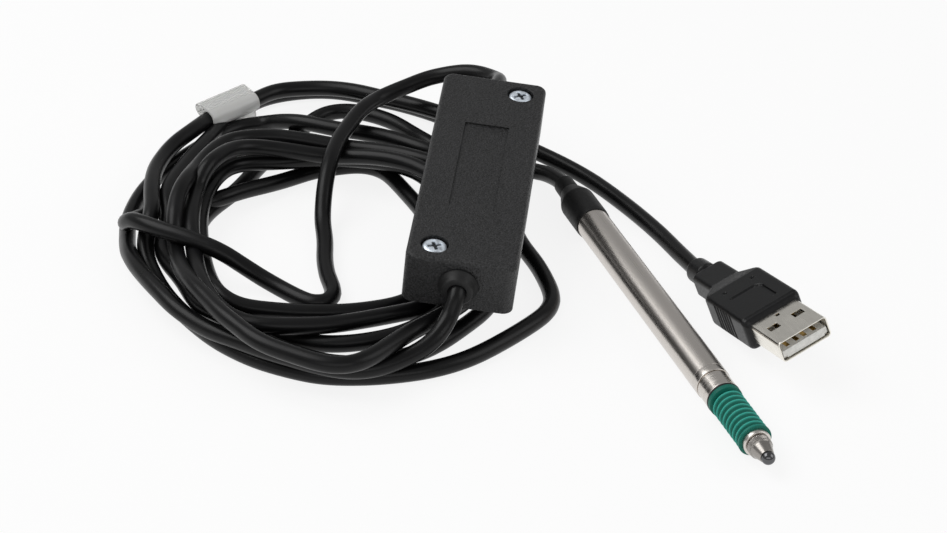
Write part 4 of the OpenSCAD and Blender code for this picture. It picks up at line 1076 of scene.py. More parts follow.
class StemOperator(bpy.types.Operator):
    """Turns the stem, the nose piece and the boot"""

    bl_idname = "measuring_probe.stem"
    bl_label = "Stem, nose and boot"

    def execute(self, context):
        sizes = context.scene.probe_sizes
        stem_r = sizes.stem_d / MM / 2
        collar_r = sizes.collar_d / MM / 2
        bore, seat, line = stem_r - STEM_WALL, stem_r - BOOT_SEAT_STEP, collar_r - LINE_DEPTH
        turn_piece("stem_tube", (
            (bore, Y_JOINT, 0.02), (stem_r, Y_JOINT, 0.06), (stem_r, Y_BOOT, 0.05),
            (seat, Y_BOOT, 0), (seat, Y_STEM_REAR, 0.05), (bore, Y_STEM_REAR, 0.05),
        ), brushed_steel(), "stem", turns=160)
        turn_piece("nose_turning", (
            (NOSE_BORE, Y_SPIGOT, 0), (SPIGOT_R, Y_SPIGOT, 0.15), (SPIGOT_R, Y_COLLAR, 0),
            (collar_r, Y_COLLAR, 0.18), (collar_r, Y_FRONT - 0.3, 0.05),
            (line, Y_FRONT - 0.25, 0.03), (line, Y_FRONT, 0), (stem_r, Y_FRONT, 0.16),
            (stem_r, Y_JOINT, 0.06), (bore, Y_JOINT, 0), (bore, Y_TAIL, 0.1),
            (BUSH_SEAT_R, Y_TAIL, 0.1), (BUSH_SEAT_R, Y_BUSH_SEAT, 0), (NOSE_BORE, Y_BUSH_SEAT, 0),
        ), turned_steel(), "nose_piece", turns=160)
        self.boot(sizes)
        return {"FINISHED"}

    def boot(self, sizes):
        """Moulded boot: a sleeve over the stem, a round shoulder, a neck that grips the cord."""
        r, neck = sizes.boot_d / MM / 2, sizes.boot_neck_d / MM / 2
        seat = sizes.stem_d / MM / 2 - 0.28
        rubber = soft_black("Boot rubber", (0.007, 0.007, 0.0073), (0.45, 0.6), 1300, 0.000012, 0.3)
        turn_piece("cable_boot", (
            (seat, Y_BOOT, 0.02), (r - 0.08, Y_BOOT, 0.12), (r, Y_BOOT + 1.2, 0.8),
            (r, Y_STEM_REAR + 1.5, 2.2), (neck + 0.45, Y_STEM_REAR + 5.4, 1.2),
            (neck + 0.1, Y_STEM_REAR + 6.2, 0.6), (neck, Y_BOOT_END, 0.35),
            (BOOT_BORE, Y_BOOT_END, 0.1), (BOOT_BORE, Y_STEM_REAR + 0.2, 0),
            (seat, Y_STEM_REAR + 0.2, 0),
        ), rubber, "boot", turns=128, steps=7)


# The gaiter's wall in millimetres, the points along one ridge and round it
GAITER_WALL, WAVE_STEPS, GAITER_TURNS = 0.35, 18, 128


class GaiterOperator(bpy.types.Operator):
    """Moulds the rubber gaiter and its clamp ring, with the ridges as moulded"""

    bl_idname = "measuring_probe.gaiter"
    bl_label = "Gaiter"

    def execute(self, context):
        sizes = context.scene.probe_sizes
        self.bellows(sizes)
        r, inner = sizes.clamp_ring_d / MM / 2, SPIGOT_R + GAITER_WALL + 0.02
        turn_piece("clamp_ring", (
            (inner, Y_CLAMP, 0), (r, Y_CLAMP, 0.12), (r, Y_COLLAR, 0.12), (inner, Y_COLLAR, 0),
        ), soft_black("Ring rubber", (0.007, 0.008, 0.008), (0.45, 0.6)),
            "gaiter_ring")
        return {"FINISHED"}

    def bellows(self, sizes):
        """The gaiter: a rear cuff on the spigot, a wave of radius valley + depth |sin(pi n t)|^3
        over n ridges, and a front cuff over the tip ring. The ridges carry a painted highlight
        along their tops."""
        ridges = sizes.gaiter_ridges
        t = np.linspace(0, 1, ridges * WAVE_STEPS + 1)
        wave_end = Y_RING_END + 0.55
        top, depth = sizes.gaiter_d / MM / 2, sizes.ridge_depth / MM
        crest = np.abs(np.sin(math.pi * t * ridges)) ** 3
        outer = np.stack((top - depth + depth * crest, Y_WAVE + (wave_end - Y_WAVE) * t), -1)
        inner = outer[::-1] - (GAITER_WALL, 0)
        cuff, front = sizes.cuff_d / MM / 2, sizes.tip_ring_d / MM / 2 + 0.02
        rear_r, rear_cuff = SPIGOT_R + GAITER_WALL, sizes.rear_cuff_d / MM / 2
        head = np.vstack((((SPIGOT_R, Y_COLLAR), (rear_r, Y_COLLAR), (rear_r, Y_CLAMP)), filleted((
            (rear_r, Y_CLAMP, 0), (rear_cuff, Y_CLAMP, 0.12), (rear_cuff, Y_WAVE + 0.45, 0.12),
            (outer[0, 0], Y_WAVE + 0.2, 0)))[1:]))
        lip = filleted((
            (outer[-1, 0], wave_end, 0), (cuff, wave_end - 0.5, 0.3), (cuff, Y_CUFF, 0.25),
            (front, Y_CUFF, 0), (front, wave_end - 0.45, 0)), steps=6)[1:]
        profile = np.vstack((head, outer, lip, inner, ((SPIGOT_R, Y_SPIGOT),)))
        gaiter = spun(profile, closed=True, turns=GAITER_TURNS)
        piece = make_piece("gaiter_bellows", *gaiter, sharp=60)
        # Painted highlight at the ridges' tops, and a little on the shoulder of the front cuff
        ridge_highlight = np.zeros(len(profile))
        lip_at = len(head) + len(outer)
        ridge_highlight[len(head):lip_at] = crest ** 3
        ridge_highlight[lip_at:lip_at + 8] = 0.25
        paint(piece, "ridge", np.repeat(ridge_highlight, GAITER_TURNS))
        finish_piece(piece, green_rubber(), body=None, nodes=("gaiter",))
        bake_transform(piece)


# The plunger's rod that the tip ring sits on, and the stud of the contact tip in it
ROD_R, STUD_R, STUD_LENGTH = 1.5, 1.0, 4.6
# The knurl: teeth round it, slant of its grooves in radians per millimetre, depth of a groove
TEETH, SLANT, KNURL_DEPTH = 40, 0.8, 0.17


def knurling(angle, station, radius):
    """Two sets of slanting grooves that cross, faded out at both ends of the knurled band:
    depth = 1 - min(|sin(n (a + s) / 2)|, |sin(n (a - s) / 2)|)^0.7."""
    inside = np.clip((Y_TIP - 0.25 - station) / 0.2, 0, 1)
    inside = inside * np.clip((station - Y_CONE) / 0.25, 0, 1)
    slant = station * SLANT
    one = np.abs(np.sin((angle + slant) * TEETH / 2))
    other = np.abs(np.sin((angle - slant) * TEETH / 2))
    return -KNURL_DEPTH * (1 - np.minimum(one, other) ** 0.7) * inside * (radius > 2)


class TipOperator(bpy.types.Operator):
    """Turns the tip ring and the knurled, coned contact tip with its lapped ball"""

    bl_idname = "measuring_probe.tip"
    bl_label = "Contact tip"

    def execute(self, context):
        sizes = context.scene.probe_sizes
        r = sizes.tip_ring_d / MM / 2
        turn_piece("tip_collar", (
            (ROD_R, Y_TIP, 0), (r, Y_TIP, 0.22), (r, Y_RING_END, 0.1), (ROD_R, Y_RING_END, 0),
        ), turned_steel(), "tip_ring", TIP_BODY, turns=128)
        knurl, end = sizes.knurl_d / MM / 2, sizes.cone_end_d / MM / 2
        rows = filleted((
            (0, Y_TIP + STUD_LENGTH, 0), (STUD_R, Y_TIP + STUD_LENGTH, 0.1), (STUD_R, Y_TIP, 0),
            (knurl - 0.3, Y_TIP, 0), (knurl - 0.3, Y_TIP - 0.12, 0), (knurl, Y_TIP - 0.2, 0.12),
            (knurl, Y_CONE + 0.1, 0.16), (knurl - 0.28, Y_CONE - 0.12, 0.1),
            (end, Y_CONE_END, 0.08), (end - 0.14, Y_CONE_END - 0.01, 0.03),
            (end - 0.2, Y_CONE_END + 0.3, 0), (0, Y_CONE_END + 0.4, 0)), steps=6)
        # The knurled band gets rows of its own, after the first row that has its full radius
        band = np.linspace(Y_TIP - 0.34, Y_CONE + 0.28, 14)[1:-1]
        full = (np.abs(rows[:, 0] - knurl) < 1e-3) & (rows[:, 1] < Y_TIP - 0.2)
        band = np.stack((np.full(len(band), knurl), band), -1)
        rows = np.insert(rows, int(np.argmax(full)) + 1, band, axis=0)
        tip = make_piece("contact_point", *spun(rows, turns=320, ripple=knurling), sharp=50)
        steel = turned_steel("Hardened tip steel", 0.55)
        finish_piece(tip, steel, TIP_BODY, ("contact_tip",))
        polar = np.linspace(0, math.pi, 49)
        ball_r = sizes.ball_d / MM / 2
        profile = np.stack((ball_r * np.sin(polar), Y_BALL + ball_r * np.cos(polar)), -1)
        profile[[0, -1], 0] = 0
        ball = make_piece("contact_ball", *spun(profile), weighted=False)
        finish_piece(ball, carbide(), TIP_BODY, ("tip_ball",))
        return {"FINISHED"}


# ---------------------------------------------------------------- box

# Corner and lip of the label recess; what a screw's recess is wider than its head, how far it goes
# below the head's top, and its lip; how far the inner skin's top is below the lid's
LABEL_CORNER, LABEL_LIP = 0.3, 0.04
SCREW_ROOM, SCREW_SEAT, SCREW_LIP = 0.9, 1.6, 0.18
ROOF = 3.0


def box_parts(sizes):
    """The lid as closed skins: the outer skin is a round-cornered outline carried up and rolled in
    over the top edge; the top face is filled between it and the rims of the label recess and the
    two screw recesses, which are outlines carried down and filled; the inner skin closes the room
    under the lid."""
    w, l, h = sizes.width / MM, sizes.long / MM, sizes.height / MM
    corner, edge, wall = sizes.corner / MM, sizes.edge / MM, sizes.wall / MM
    rolled = np.linspace(0, math.pi / 2, 8)
    mesh = bmesh.new()

    def ring(outline, z):
        """A ring of vertices along an outline at one height."""
        return [mesh.verts.new((x, y, z)) for x, y in outline]

    def inset_ring(inset, z):
        """The box's own outline, drawn in."""
        return ring(round_outline(w - 2 * inset, l - 2 * inset, corner - inset), z)

    def strip(a, b):
        """A band of quads that joins two rings."""
        for i in range(len(a)):
            j = (i + 1) % len(a)
            mesh.faces.new((a[i], a[j], b[j], b[i]))

    skin = [inset_ring(0, -h)]
    skin += [inset_ring(edge * (1 - math.cos(a)), -edge * (1 - math.sin(a))) for a in rolled]
    for lower, upper in zip(skin, skin[1:]):
        strip(lower, upper)
    rims = [skin[-1]]
    pits = [(0, 0, sizes.label_w / MM, sizes.label_l / MM, LABEL_CORNER, sizes.label_t / MM,
             LABEL_LIP)]
    sink_d = sizes.screw_d / MM + SCREW_ROOM
    for s in (-1, 1):
        x, y = s * sizes.screw_x / MM, s * sizes.screw_y / MM
        depth = sizes.screw_sink / MM + SCREW_SEAT
        pits.append((x, y, sink_d, sink_d, sink_d / 2, depth, SCREW_LIP))
    for x, y, pw, pl, pr, depth, lip in pits:
        low = min(lip, depth / 2)
        rows = [(lip - lip * math.sin(a), lip * math.cos(a) - lip) for a in rolled]
        rows += [(-low * (1 - math.cos(a)), -depth + low * (1 - math.sin(a))) for a in rolled]
        rings = [ring(round_outline(pw + 2 * grow, pl + 2 * grow, pr + grow) + (x, y), z)
                 for grow, z in rows]
        for upper, lower in zip(rings, rings[1:]):
            strip(lower, upper)
        rims.append(rings[0])
        mesh.faces.new(rings[-1])
    inner = inset_ring(wall, -h)
    roof = inset_ring(wall, -ROOF)
    strip(inner, skin[0])
    strip(roof, inner)
    mesh.faces.new(roof)
    edges = []
    for rim in rims:
        for ends in zip(rim, rim[1:] + rim[:1]):
            edges.append(mesh.edges.get(ends) or mesh.edges.new(ends))
    bmesh.ops.triangle_fill(mesh, use_beauty=True, edges=edges, normal=(0, 0, 1))
    bmesh.ops.recalc_face_normals(mesh, faces=mesh.faces)
    return mesh


class BoxOperator(bpy.types.Operator):
    """Moulds the box's deep lid with its bare label recess and two screw recesses"""

    bl_idname = "measuring_probe.box"
    bl_label = "Box"

    def execute(self, context):
        shape = box_parts(context.scene.box_sizes)
        turn = Matrix(turn_matrix(CASE_TURN).tolist()).to_4x4()
        matrix = Matrix.Scale(MM, 4) @ Matrix.Translation(CASE_AT.tolist()) @ turn
        bmesh.ops.transform(shape, matrix=matrix, verts=shape.verts)
        mesh = bpy.data.meshes.new("box_lid")
        shape.to_mesh(mesh)
        shape.free()
        finish_piece(set_out("box_lid", mesh), box_plastic(), nodes=("case_shell",))
        return {"FINISHED"}


# The screws: how far the crown drops at its edge and over which width, half the width and the
# reach of the cross's arms, its depth, the radius of the round in its middle, the head's depth, the
# shank's radius and end, and how far the front and the rear screw are turned, in degrees
CROWN_DROP, CROWN_WIDTH = 0.42, 0.9
ARM_HALF, ARM_REACH, CROSS_DEPTH, CROSS_BOSS = 0.42, 1.75, 0.75, 0.75
HEAD_DEPTH, SHANK_R, SHANK_END = 1.58, 1.5, -11.5
TWISTS = {-1: 22, 1: 30}


class ScrewsOperator(bpy.types.Operator):
    """Forms the two cross-recess screw heads with their shanks"""

    bl_idname = "measuring_probe.screws"
    bl_label = "Screws"

    def execute(self, context):
        sizes = context.scene.box_sizes
        parts, deep = [], []
        for side, twist in TWISTS.items():
            points, faces, tris, cut = self.screw(sizes, math.radians(twist))
            offset = (side * sizes.screw_x / MM, side * sizes.screw_y / MM, 0)
            parts.append(turned_out((in_case(points + offset), faces, tris)))
            deep.append(cut)
        screws = make_piece("cross_screws", *join_parts(parts), sharp=45, weighted=False)
        # How deep in the cross each point lies, which the zinc finish turns into painted shade
        paint(screws, "recess", np.concatenate(deep))
        finish_piece(screws, zinc(), nodes=("case_screws",))
        return {"FINISHED"}

    def screw(self, sizes, twist):
        """One screw as points, quads and tris, with how deep in the cross each point is. The head's
        top is crown(r) - cross(u, v), with u and v turned by the twist."""
        head_r = sizes.screw_d / MM / 2
        sink = sizes.screw_sink / MM
        turns, rings = 240, 64
        radius = np.linspace(head_r, 0.02, rings)[:, None]
        angle = np.linspace(0, 2 * math.pi, turns, endpoint=False)[None, :]
        x, y = radius * np.cos(angle), radius * np.sin(angle)
        u = x * math.cos(twist) + y * math.sin(twist)
        v = -x * math.sin(twist) + y * math.cos(twist)
        edge = np.clip((radius - head_r + CROWN_WIDTH) / CROWN_WIDTH, 0, 1)
        crown = -sink - CROWN_DROP * edge ** 2.2
        arms = [np.minimum((ARM_HALF - np.abs(p)) / 0.12, (ARM_REACH - np.abs(q)) / 0.35)
                for p, q in ((v, u), (u, v))]
        boss = (CROSS_BOSS - np.hypot(u, v)) / 0.2
        cut = np.clip(np.maximum(np.maximum(*arms), boss), 0, 1)
        z = crown - CROSS_DEPTH * cut * (1 - 0.25 * np.clip(radius / ARM_REACH, 0, 1))
        top = np.stack(np.broadcast_arrays(x, y, z), -1).reshape(-1, 3)
        rim = np.stack((head_r * np.cos(angle[0]), head_r * np.sin(angle[0])), -1)
        under = -sink - HEAD_DEPTH
        rows = [np.column_stack((rim * share, np.full(turns, height))) for share, height in (
            (SHANK_R / head_r, SHANK_END), (SHANK_R / head_r, under), (0.98, under))]
        middles = [(0, 0, float(z[-1, 0]))], [(0, 0, SHANK_END)]
        points = np.vstack((*rows, top, *middles))
        count = rings + len(rows)
        tris = np.vstack((
            fan(np.arange(turns) + (count - 1) * turns, len(points) - 2),
            fan(np.arange(turns)[::-1], len(points) - 1)))
        # How deep in the cross each point is, darkened by the zinc finish as painted shade
        cut = np.concatenate((
            np.zeros(len(rows) * turns), (cut ** 2 * np.ones_like(x)).ravel(), (1.0, 0.0)))
        return points, grid_faces(count, turns), tris, cut


# The grommets' bore as a radius, and how thick their rims inside the box are
GROMMET_BORE, GROMMET_INSIDE = 1.95, 1.2


class GrommetsOperator(bpy.types.Operator):
    """Moulds the rubber grommet at each end of the box"""

    bl_idname = "measuring_probe.grommets"
    bl_label = "Grommets"

    def execute(self, context):
        sizes = context.scene.box_sizes
        r, long = sizes.grommet_d / MM / 2, sizes.grommet_l / MM
        wall, neck, lip = sizes.wall / MM, r - 1.1, r - 0.6
        inside = -wall - GROMMET_INSIDE
        profile = filleted((
            (GROMMET_BORE, inside, 0.1), (lip, inside, 0.2), (lip, -wall, 0), (neck, -wall, 0),
            (neck, 0.0, 0), (r, 0.0, 0), (r, 0.45, 0.3), (lip, 1.4, 0.5), (neck, long, 0.45),
            (2.0, long, 0.25), (GROMMET_BORE, long - 0.5, 0)), closed=True, steps=6)
        rubber = soft_black(
            "Grommet rubber", (0.006, 0.006, 0.0062), (0.45, 0.62), 1200, 0.000014)
        half = sizes.long / MM / 2
        for name, s, node in (
            ("front_gland", -1, "front_grommet"), ("rear_gland", 1, "rear_grommet"),
        ):
            points, quads, tris = spun(profile, closed=True, turns=112)
            points = points * (1, s, 1) + (0, s * half, -GLAND_DROP)
            piece = make_piece(name, in_case(points), quads, tris)
            finish_piece(piece, rubber, nodes=(node,))
        return {"FINISHED"}


# ---------------------------------------------------------------- plug

# The shell: its corner radius, its length inside the grip, the middle and size of a latch hole, and
# the notch in its top
SHELL_R, SHELL_INSIDE = 0.6, 3.0
HOLE_X, HOLE_Y, HOLE_W, HOLE_L = 3.16, 6.65, 2.6, 2.1
NOTCH_HALF, NOTCH_FROM, NOTCH_TO = 0.45, 9.7, 10.7


class PlugShellOperator(bpy.types.Operator):
    """Folds the plug's metal shell with its latch holes"""

    bl_idname = "measuring_probe.plug_shell"
    bl_label = "Plug shell"

    def execute(self, context):
        sizes = context.scene.plug_sizes
        points, quads = self.sheet(sizes)
        piece = make_piece(
            "plug_sleeve", in_plug(points), quads, closed=False, sharp=50, weighted=False)
        wall = piece.modifiers.new("Sheet", "SOLIDIFY")
        wall.thickness = sizes.shell_t
        wall.offset = -1
        wall.use_even_offset = True
        bevel = piece.modifiers.new("Broken edges", "BEVEL")
        bevel.width = 0.00006
        bevel.segments = 2
        bevel.limit_method = "ANGLE"
        bevel.angle_limit = math.radians(60)
        piece.modifiers.new("Even normals", "WEIGHTED_NORMAL")
        finish_piece(piece, nickel(), nodes=("plug_shell",))
        return {"FINISHED"}

    def sheet(self, sizes):
        """The folded sheet's outer skin: a rectangle with round corners carried along the plug,
        without the quads whose middles lie in a latch hole or in the notch."""
        w, h, r = sizes.shell_w / MM, sizes.shell_h / MM, SHELL_R
        flat = w / 2 - r
        marks = sorted([s * HOLE_X + k * HOLE_W / 2 for s in (-1, 1) for k in (-1, 1)]
                       + [-NOTCH_HALF, NOTCH_HALF])
        top_x = np.unique(np.concatenate((marks, np.linspace(-flat, flat, 22))))
        stations = np.unique(np.concatenate((
            np.linspace(0, sizes.shell_l / MM + SHELL_INSIDE, 40),
            (HOLE_Y - HOLE_L / 2, HOLE_Y + HOLE_L / 2, NOTCH_FROM, NOTCH_TO))))
        arc = np.linspace(0, math.pi / 2, 6)[1:-1]
        side = np.linspace(0, 1, 6)
        outline = [(x, 0.0) for x in top_x]
        outline += [(flat + r * math.sin(a), -r + r * math.cos(a)) for a in arc]
        outline += [(w / 2, -r - t * (h - 2 * r)) for t in side]
        outline += [(flat + r * math.cos(a), -h + r - r * math.sin(a)) for a in arc]
        outline += [(x, -h) for x in top_x[::-1]]
        outline += [(-flat - r * math.sin(a), -h + r - r * math.cos(a)) for a in arc]
        outline += [(-w / 2, -h + r + t * (h - 2 * r)) for t in side]
        outline += [(-flat - r * math.cos(a), -r + r * math.sin(a)) for a in arc]
        outline = np.array(outline)
        columns, rows = len(outline), len(stations)
        points = np.stack((
            np.broadcast_to(outline[:, 0], (rows, columns)),
            np.repeat(stations[:, None], columns, axis=1),
            np.broadcast_to(outline[:, 1], (rows, columns))), -1).reshape(-1, 3)
        quads = grid_faces(rows, columns)
        x, y, z = points[quads].mean(axis=1).T
        above = np.abs(z) < 0.01
        latch = (above | (np.abs(z + h) < 0.01)) & (np.abs(np.abs(x) - HOLE_X) < HOLE_W / 2)
        latch &= np.abs(y - HOLE_Y) < HOLE_L / 2
        notch = above & (np.abs(x) < NOTCH_HALF) & (y > NOTCH_FROM) & (y < NOTCH_TO)
        return points, quads[~(latch | notch)][:, ::-1]


def near_path(x, y, path):
    """Distance from each (x, y) to an open line of points: the least of |p - a - t (b - a)| over
    its stretches, with t the foot's place on the stretch, kept between 0 and 1."""
    best = np.full(np.shape(x), 1e9)
    for (ax, ay), (bx, by) in zip(path[:-1], path[1:]):
        dx, dy = bx - ax, by - ay
        t = np.clip(((x - ax) * dx + (y - ay) * dy) / (dx * dx + dy * dy), 0, 1)
        best = np.minimum(best, np.hypot(x - ax - t * dx, y - ay - t * dy))
    return best


# The line of the hooked groove: its right and left end and its rear edge, where it starts, and the
# radius of its bend; then the two square dots beside it
HOOK_RIGHT, HOOK_LEFT, HOOK_BACK, HOOK_FROM, HOOK_R = 3.3, -3.8, 23.05, 15.95, 1.75
HOOK_HALF, HOOK_DEPTH = 0.5, 0.42
DOT_X, DOT_Y, DOT_HALF, DOT_DEPTH = 3.73, 26.5, 0.42, 0.35
# The grooves across the grip's sides: how many, where the first is, spacing, half width, depth
RIBS, RIB_FROM, RIB_STEP, RIB_HALF, RIB_DEPTH = 6, 18.75, 1.3, 0.5, 0.42


class PlugGripOperator(bpy.types.Operator):
    """Moulds the plug's grip with its groove, its side ribs, its neck and its strain relief"""

    bl_idname = "measuring_probe.plug_grip"
    bl_label = "Plug grip"

    def execute(self, context):
        sizes = context.scene.plug_sizes
        front = sizes.shell_l / MM
        grip_end = front + sizes.grip_l / MM
        end = grip_end + sizes.neck_l / MM
        keys = self.sections(front, end, sizes.grip_w / MM / 2)
        stations = np.unique(np.concatenate((np.arange(front, end, 0.15), keys[:, 0])))
        a, top, low, r = (
            np.interp(stations, keys[:, 0], column)[:, None] for column in keys.T[1:])
        b, middle = (top - low) / 2, (top + low) / 2
        r = np.minimum(r, np.minimum(a, b) - 1e-3)
        x, z = self.outline(a, b, r)
        y = np.repeat(stations[:, None], x.shape[1], axis=1)
        z = z - self.groove(x, y) * ((z > b - 0.05) & (y < grip_end))
        on_side = np.abs(x) > a - 0.05
        for i in range(RIBS):
            rib = np.abs(y - RIB_FROM - RIB_STEP * i)
            dip = RIB_DEPTH * np.sqrt(np.clip(1 - (rib / RIB_HALF) ** 2, 0, 1))
            x = x - np.sign(x) * dip * on_side * (np.abs(z) < b - r + 0.4)
        points = np.stack((x, y, z + middle), -1)
        rows, columns = x.shape
        points = points.reshape(-1, 3)
        inside = np.array(((0, front, middle[0, 0]), (0, end - 0.3, middle[-1, 0])))
        tris = np.vstack((
            fan(np.arange(columns)[::-1], len(points)),
            fan(np.arange(columns) + (rows - 1) * columns, len(points) + 1)))
        points = in_plug(np.vstack((points, inside)))
        grip = make_piece("plug_moulding", points, grid_faces(rows, columns), tris, sharp=42)
        moulding = soft_black("Grip moulding", picked("grip"), (0.3, 0.42), 1500, 0.000012, 0.32)
        finish_piece(grip, moulding, nodes=("plug_grip",))
        return {"FINISHED"}

    def sections(self, front, end, half):
        """Rows of station, half width, top, underside and corner radius from the grip's front over
        its shoulder to the neck, and on to the strain relief."""
        return np.array((
            (front, 6.2, 0.1, -4.9, 0.9),
            (front + 0.15, 6.6, 0.62, -5.45, 1.0),
            (front + 0.45, 7.0, 1.1, -5.85, 1.1),
            (front + 0.9, 7.3, 1.42, -6.12, 1.2),
            (front + 1.3, 7.45, 1.52, -6.22, 1.2),
            (front + 1.75, half, 1.75, -6.25, 1.2),
            (28.95, half, 1.75, -6.25, 1.2),
            (29.35, half, 1.69, -6.18, 1.2),
            (29.9, 7.38, 1.58, -6.07, 1.2),
            (30.34, 7.09, 1.48, -5.98, 1.2),
            (31.5, 5.93, 1.24, -5.74, 1.2),
            (32.83, 4.6, 0.98, -5.48, 1.2),
            (33.2, 4.3, 0.9, -5.4, 1.2),
            (33.65, 4.2, 0.84, -5.34, 1.2),
            (end - 6.7, 4.2, 0.66, -5.16, 1.2),
            (end - 6.4, 4.1, 0.6, -5.1, 1.3),
            (end - 6.3, 2.65, 0.35, -4.85, 2.5),
            (end - 5.5, 2.6, 0.35, -4.85, 2.6),
            (end - 5.4, 2.7, 0.45, -4.95, 2.7),
            (end - 5.2, 3.0, 0.75, -5.25, 3.0),
            (end - 4.9, 3.1, 0.85, -5.35, 3.1),
            (end - 0.6, 3.0, 0.75, -5.25, 3.0),
            (end - 0.2, 2.8, 0.55, -5.05, 2.8),
            (end, 2.4, 0.15, -4.65, 2.4)))

    def outline(self, a, b, r):
        """A rectangle of half width a and half height b with corner radius r at each station: even
        steps along both flats and round each corner, with the same count in each row."""
        flat_w, flat_h, bend = 60, 22, 12
        u = np.linspace(-1, 1, flat_w, endpoint=False)[None, :]
        v = np.linspace(1, -1, flat_h, endpoint=False)[None, :]
        c = np.linspace(0, math.pi / 2, bend, endpoint=False)[None, :]
        sides = []
        for s in (1, -1):
            sides += [
                (s * u * (a - r), s * b * np.ones_like(u)),
                (s * (a - r + r * np.sin(c)), s * (b - r + r * np.cos(c))),
                (s * a * np.ones_like(v), s * v * (b - r)),
                (s * (a - r + r * np.cos(c)), -s * (b - r + r * np.sin(c)))]
        return (np.hstack([side[k] for side in sides]) for k in (0, 1))

    def groove(self, x, y):
        """Depth of the hooked groove and the two dots in the grip's top: each is its full depth
        times a ramp of the distance to its middle line or middle."""
        bend = np.linspace(0, math.pi / 2, 9)
        hook = [(HOOK_RIGHT, HOOK_FROM)] + [(
            HOOK_RIGHT - HOOK_R + HOOK_R * math.cos(t), HOOK_BACK - HOOK_R + HOOK_R * math.sin(t)
        ) for t in bend] + [(HOOK_LEFT, HOOK_BACK)]
        depth = HOOK_DEPTH * np.clip((HOOK_HALF - near_path(x, y, hook)) / 0.14, 0, 1)
        for dot in (-DOT_X, DOT_X):
            away = np.maximum(np.abs(x - dot), np.abs(y - DOT_Y))
            depth = np.maximum(depth, DOT_DEPTH * np.clip((DOT_HALF - away) / 0.12, 0, 1))
        return depth


# ---------------------------------------------------------------- marker sleeve

# The marker sleeve: bore and radius of its wide tube, radius, wall and middle of its narrow tube,
# its length, and how deep the narrow strip under it hangs from and to
SLEEVE_BORE, SLEEVE_R, NARROW_R, NARROW_WALL = 2.15, 2.7, 1.6, 0.4
NARROW_AT = np.array((3.4, 1.8))
SLEEVE_LENGTH = 15.0
STRIP_LOW, STRIP_TOP = -5.75, -1.6


class SleeveOperator(bpy.types.Operator):
    """Extrudes the clear marker sleeve: a bore for the cord, a ribbed web and a small tube"""

    bl_idname = "measuring_probe.sleeve"
    bl_label = "Marker sleeve"

    def execute(self, context):
        half = SLEEVE_LENGTH / 2
        parts = []
        for (across, rise), radius, hole in (
            ((0.0, 0.0), SLEEVE_R, SLEEVE_BORE), (NARROW_AT, NARROW_R, NARROW_R - NARROW_WALL),
        ):
            profile = filleted((
                (hole, -half, 0.08), (radius, -half, 0.12), (radius, half, 0.12),
                (hole, half, 0.08)), closed=True, steps=3)
            points, quads, tris = spun(profile, closed=True, turns=64)
            points = points[:, (1, 0, 2)] + (0, across, rise)
            parts.append(turned_out((points, quads, tris)))
        ends = np.array((-half + 0.1, half - 0.1))
        for loop in self.sheets():
            count = len(loop)
            points = np.stack((
                np.repeat(ends[:, None], count, axis=1),
                np.broadcast_to(loop[:, 0], (2, count)),
                np.broadcast_to(loop[:, 1], (2, count))), -1).reshape(-1, 3)
            i = np.arange(count // 2 - 1)
            cap = np.stack((i, i + 1, count - 2 - i, count - 1 - i), -1)
            quads = np.vstack((grid_faces(2, count), cap[:, ::-1], cap + count))
            parts.append(turned_out((points, quads, np.zeros((0, 3), int))))
        points, quads, tris = join_parts(parts)
        points = points @ turn_matrix((0, 0, SLEEVE_TURN)).T
        sleeve = make_piece("marker_sleeve", points + SLEEVE_AT, quads, tris, sharp=45)
        finish_piece(sleeve, clear_plastic(), nodes=("cable_clip",))
        return {"FINISHED"}

    def sheets(self):
        """Closed outlines of the thin walls. Two touch both tubes: the line between the centres is
        turned by the angle whose cosine is the difference of the radii over the distance, and the
        upper one has ribs. The third is a strip that hangs down."""
        lean = math.atan2(NARROW_AT[1], NARROW_AT[0])
        spread = math.acos((SLEEVE_R - NARROW_R) / np.hypot(*NARROW_AT))
        t = np.linspace(0, 1, 41)
        loops = []
        for side in (1, -1):
            out = np.array((math.cos(lean + side * spread), math.sin(lean + side * spread)))
            line = (SLEEVE_R - 0.22) * out + t[:, None] * (NARROW_AT + (NARROW_R - SLEEVE_R) * out)
            ribs = 0.2 * np.abs(np.sin(math.pi * 4.5 * t)) ** 3 if side > 0 else 0 * t
            loops.append(np.concatenate((
                line + (0.2 + ribs)[:, None] * out, (line - 0.2 * out)[::-1])))
        down = np.linspace(STRIP_LOW, STRIP_TOP, 12)
        thick = 0.3 + 0.06 * np.cos(np.linspace(0, 4 * math.pi, 12))
        loops.append(np.concatenate((
            np.stack((-0.6 + thick, down), -1), np.stack((-0.6 - thick, down), -1)[::-1])))
        return loops


# ---------------------------------------------------------------- inner pieces and cord facts

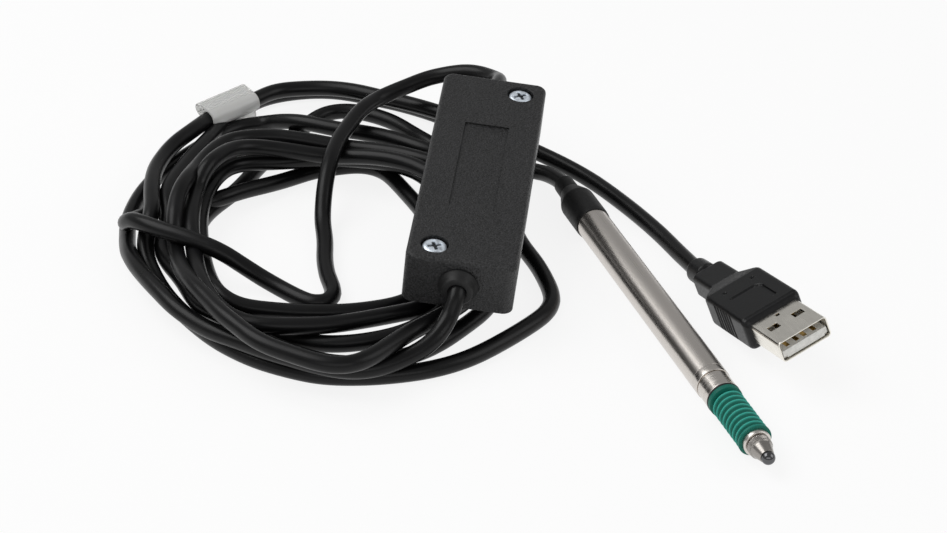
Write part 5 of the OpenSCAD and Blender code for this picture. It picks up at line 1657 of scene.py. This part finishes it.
class InsideOperator(bpy.types.Operator):
    """Gives the pieces inside the probe, box and plug their finishes"""

    bl_idname = "measuring_probe.inside"
    bl_label = "Inner pieces"

    def execute(self, context):
        finishes = {
            plain_finish("Ground steel", (0.5, 0.51, 0.53), 0.22, 1.0): (
                "guide_bush", "anti_rotation_pin", "spring_seat", "plunger_rod", "stop_ring",
                "guide_balls", "return_spring"),
            plain_finish("Core alloy", (0.1, 0.098, 0.095), 0.5, 1.0): ("core",),
            plain_finish("Core rod", (0.55, 0.5, 0.36), 0.3, 1.0): ("core_rod",),
            plain_finish("Cage brass", (0.62, 0.42, 0.13), 0.28, 1.0): ("ball_cage",),
            plain_finish("Former", (0.69, 0.6, 0.4), 0.5): ("bobbin",),
            plain_finish("Copper wire", (0.48, 0.15, 0.05), 0.35, 1.0, 4000): ("windings",),
            plain_finish("Black filling", (0.02, 0.02, 0.021), 0.55): ("rear_plug", "board_parts"),
            plain_finish("Solder resist", (0.005, 0.09, 0.03), 0.3): ("circuit_board",),
            plain_finish("Floor plate", (0.03, 0.03, 0.032), 0.55, 0.0, 2000): ("case_plate",),
            plain_finish("White insulator", (0.8, 0.79, 0.75), 0.35): ("plug_tongue",),
            plain_finish("Gold contact", (0.7, 0.45, 0.14), 0.25, 1.0): ("plug_contacts",),
        }
        for material, names in finishes.items():
            for name in names:
                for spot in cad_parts[name].material_slots:
                    spot.material = material
        return {"FINISHED"}


class CordFactsOperator(bpy.types.Operator):
    """Does nothing"""

    bl_idname = "measuring_probe.cord_facts"
    bl_label = "Cord facts"

    def execute(self, context):
        return {"FINISHED"}


class ProbePanel(bpy.types.Panel):
    """Lists the operators and the sizes"""

    bl_idname = "VIEW3D_PT_measuring_probe"
    bl_label = "Measuring probe"
    bl_space_type = "VIEW_3D"
    bl_region_type = "UI"
    bl_category = "Probe"

    def draw(self, context):
        for operator in OPERATORS:
            self.layout.operator(operator.bl_idname)
        for name, group in GROUPS.items():
            box = self.layout.box()
            box.label(text=group.__doc__)
            for key in group.__annotations__:
                box.prop(getattr(context.scene, name), key)


GROUPS = {
    "probe_sizes": ProbeSizes, "box_sizes": BoxSizes, "plug_sizes": PlugSizes,
    "cord_sizes": CordSizes, "stage_sizes": StageSizes, "probe_colours": Colours,
}
OPERATORS = (
    StageOperator, CordsOperator, StemOperator, GaiterOperator, TipOperator, BoxOperator,
    ScrewsOperator, GrommetsOperator, PlugShellOperator, PlugGripOperator, SleeveOperator,
    InsideOperator, CordFactsOperator,
)


def register():
    """Registers the groups, the operators and the panel, and puts the groups on the scene."""
    for group in GROUPS.values():
        bpy.utils.register_class(group)
    for name, group in GROUPS.items():
        setattr(bpy.types.Scene, name, bpy.props.PointerProperty(type=group))
    for kind in (*OPERATORS, ProbePanel):
        bpy.utils.register_class(kind)


def unregister():
    """Takes everything off again in the opposite order."""
    for kind in (ProbePanel, *OPERATORS[::-1]):
        bpy.utils.unregister_class(kind)
    for name in GROUPS:
        delattr(bpy.types.Scene, name)
    for group in reversed(list(GROUPS.values())):
        bpy.utils.unregister_class(group)


def main():
    register()
    for operator in OPERATORS:
        group, name = operator.bl_idname.split(".")
        getattr(getattr(bpy.ops, group), name)()
    bpy.context.view_layer.update()


if __name__ == "__main__":
    main()
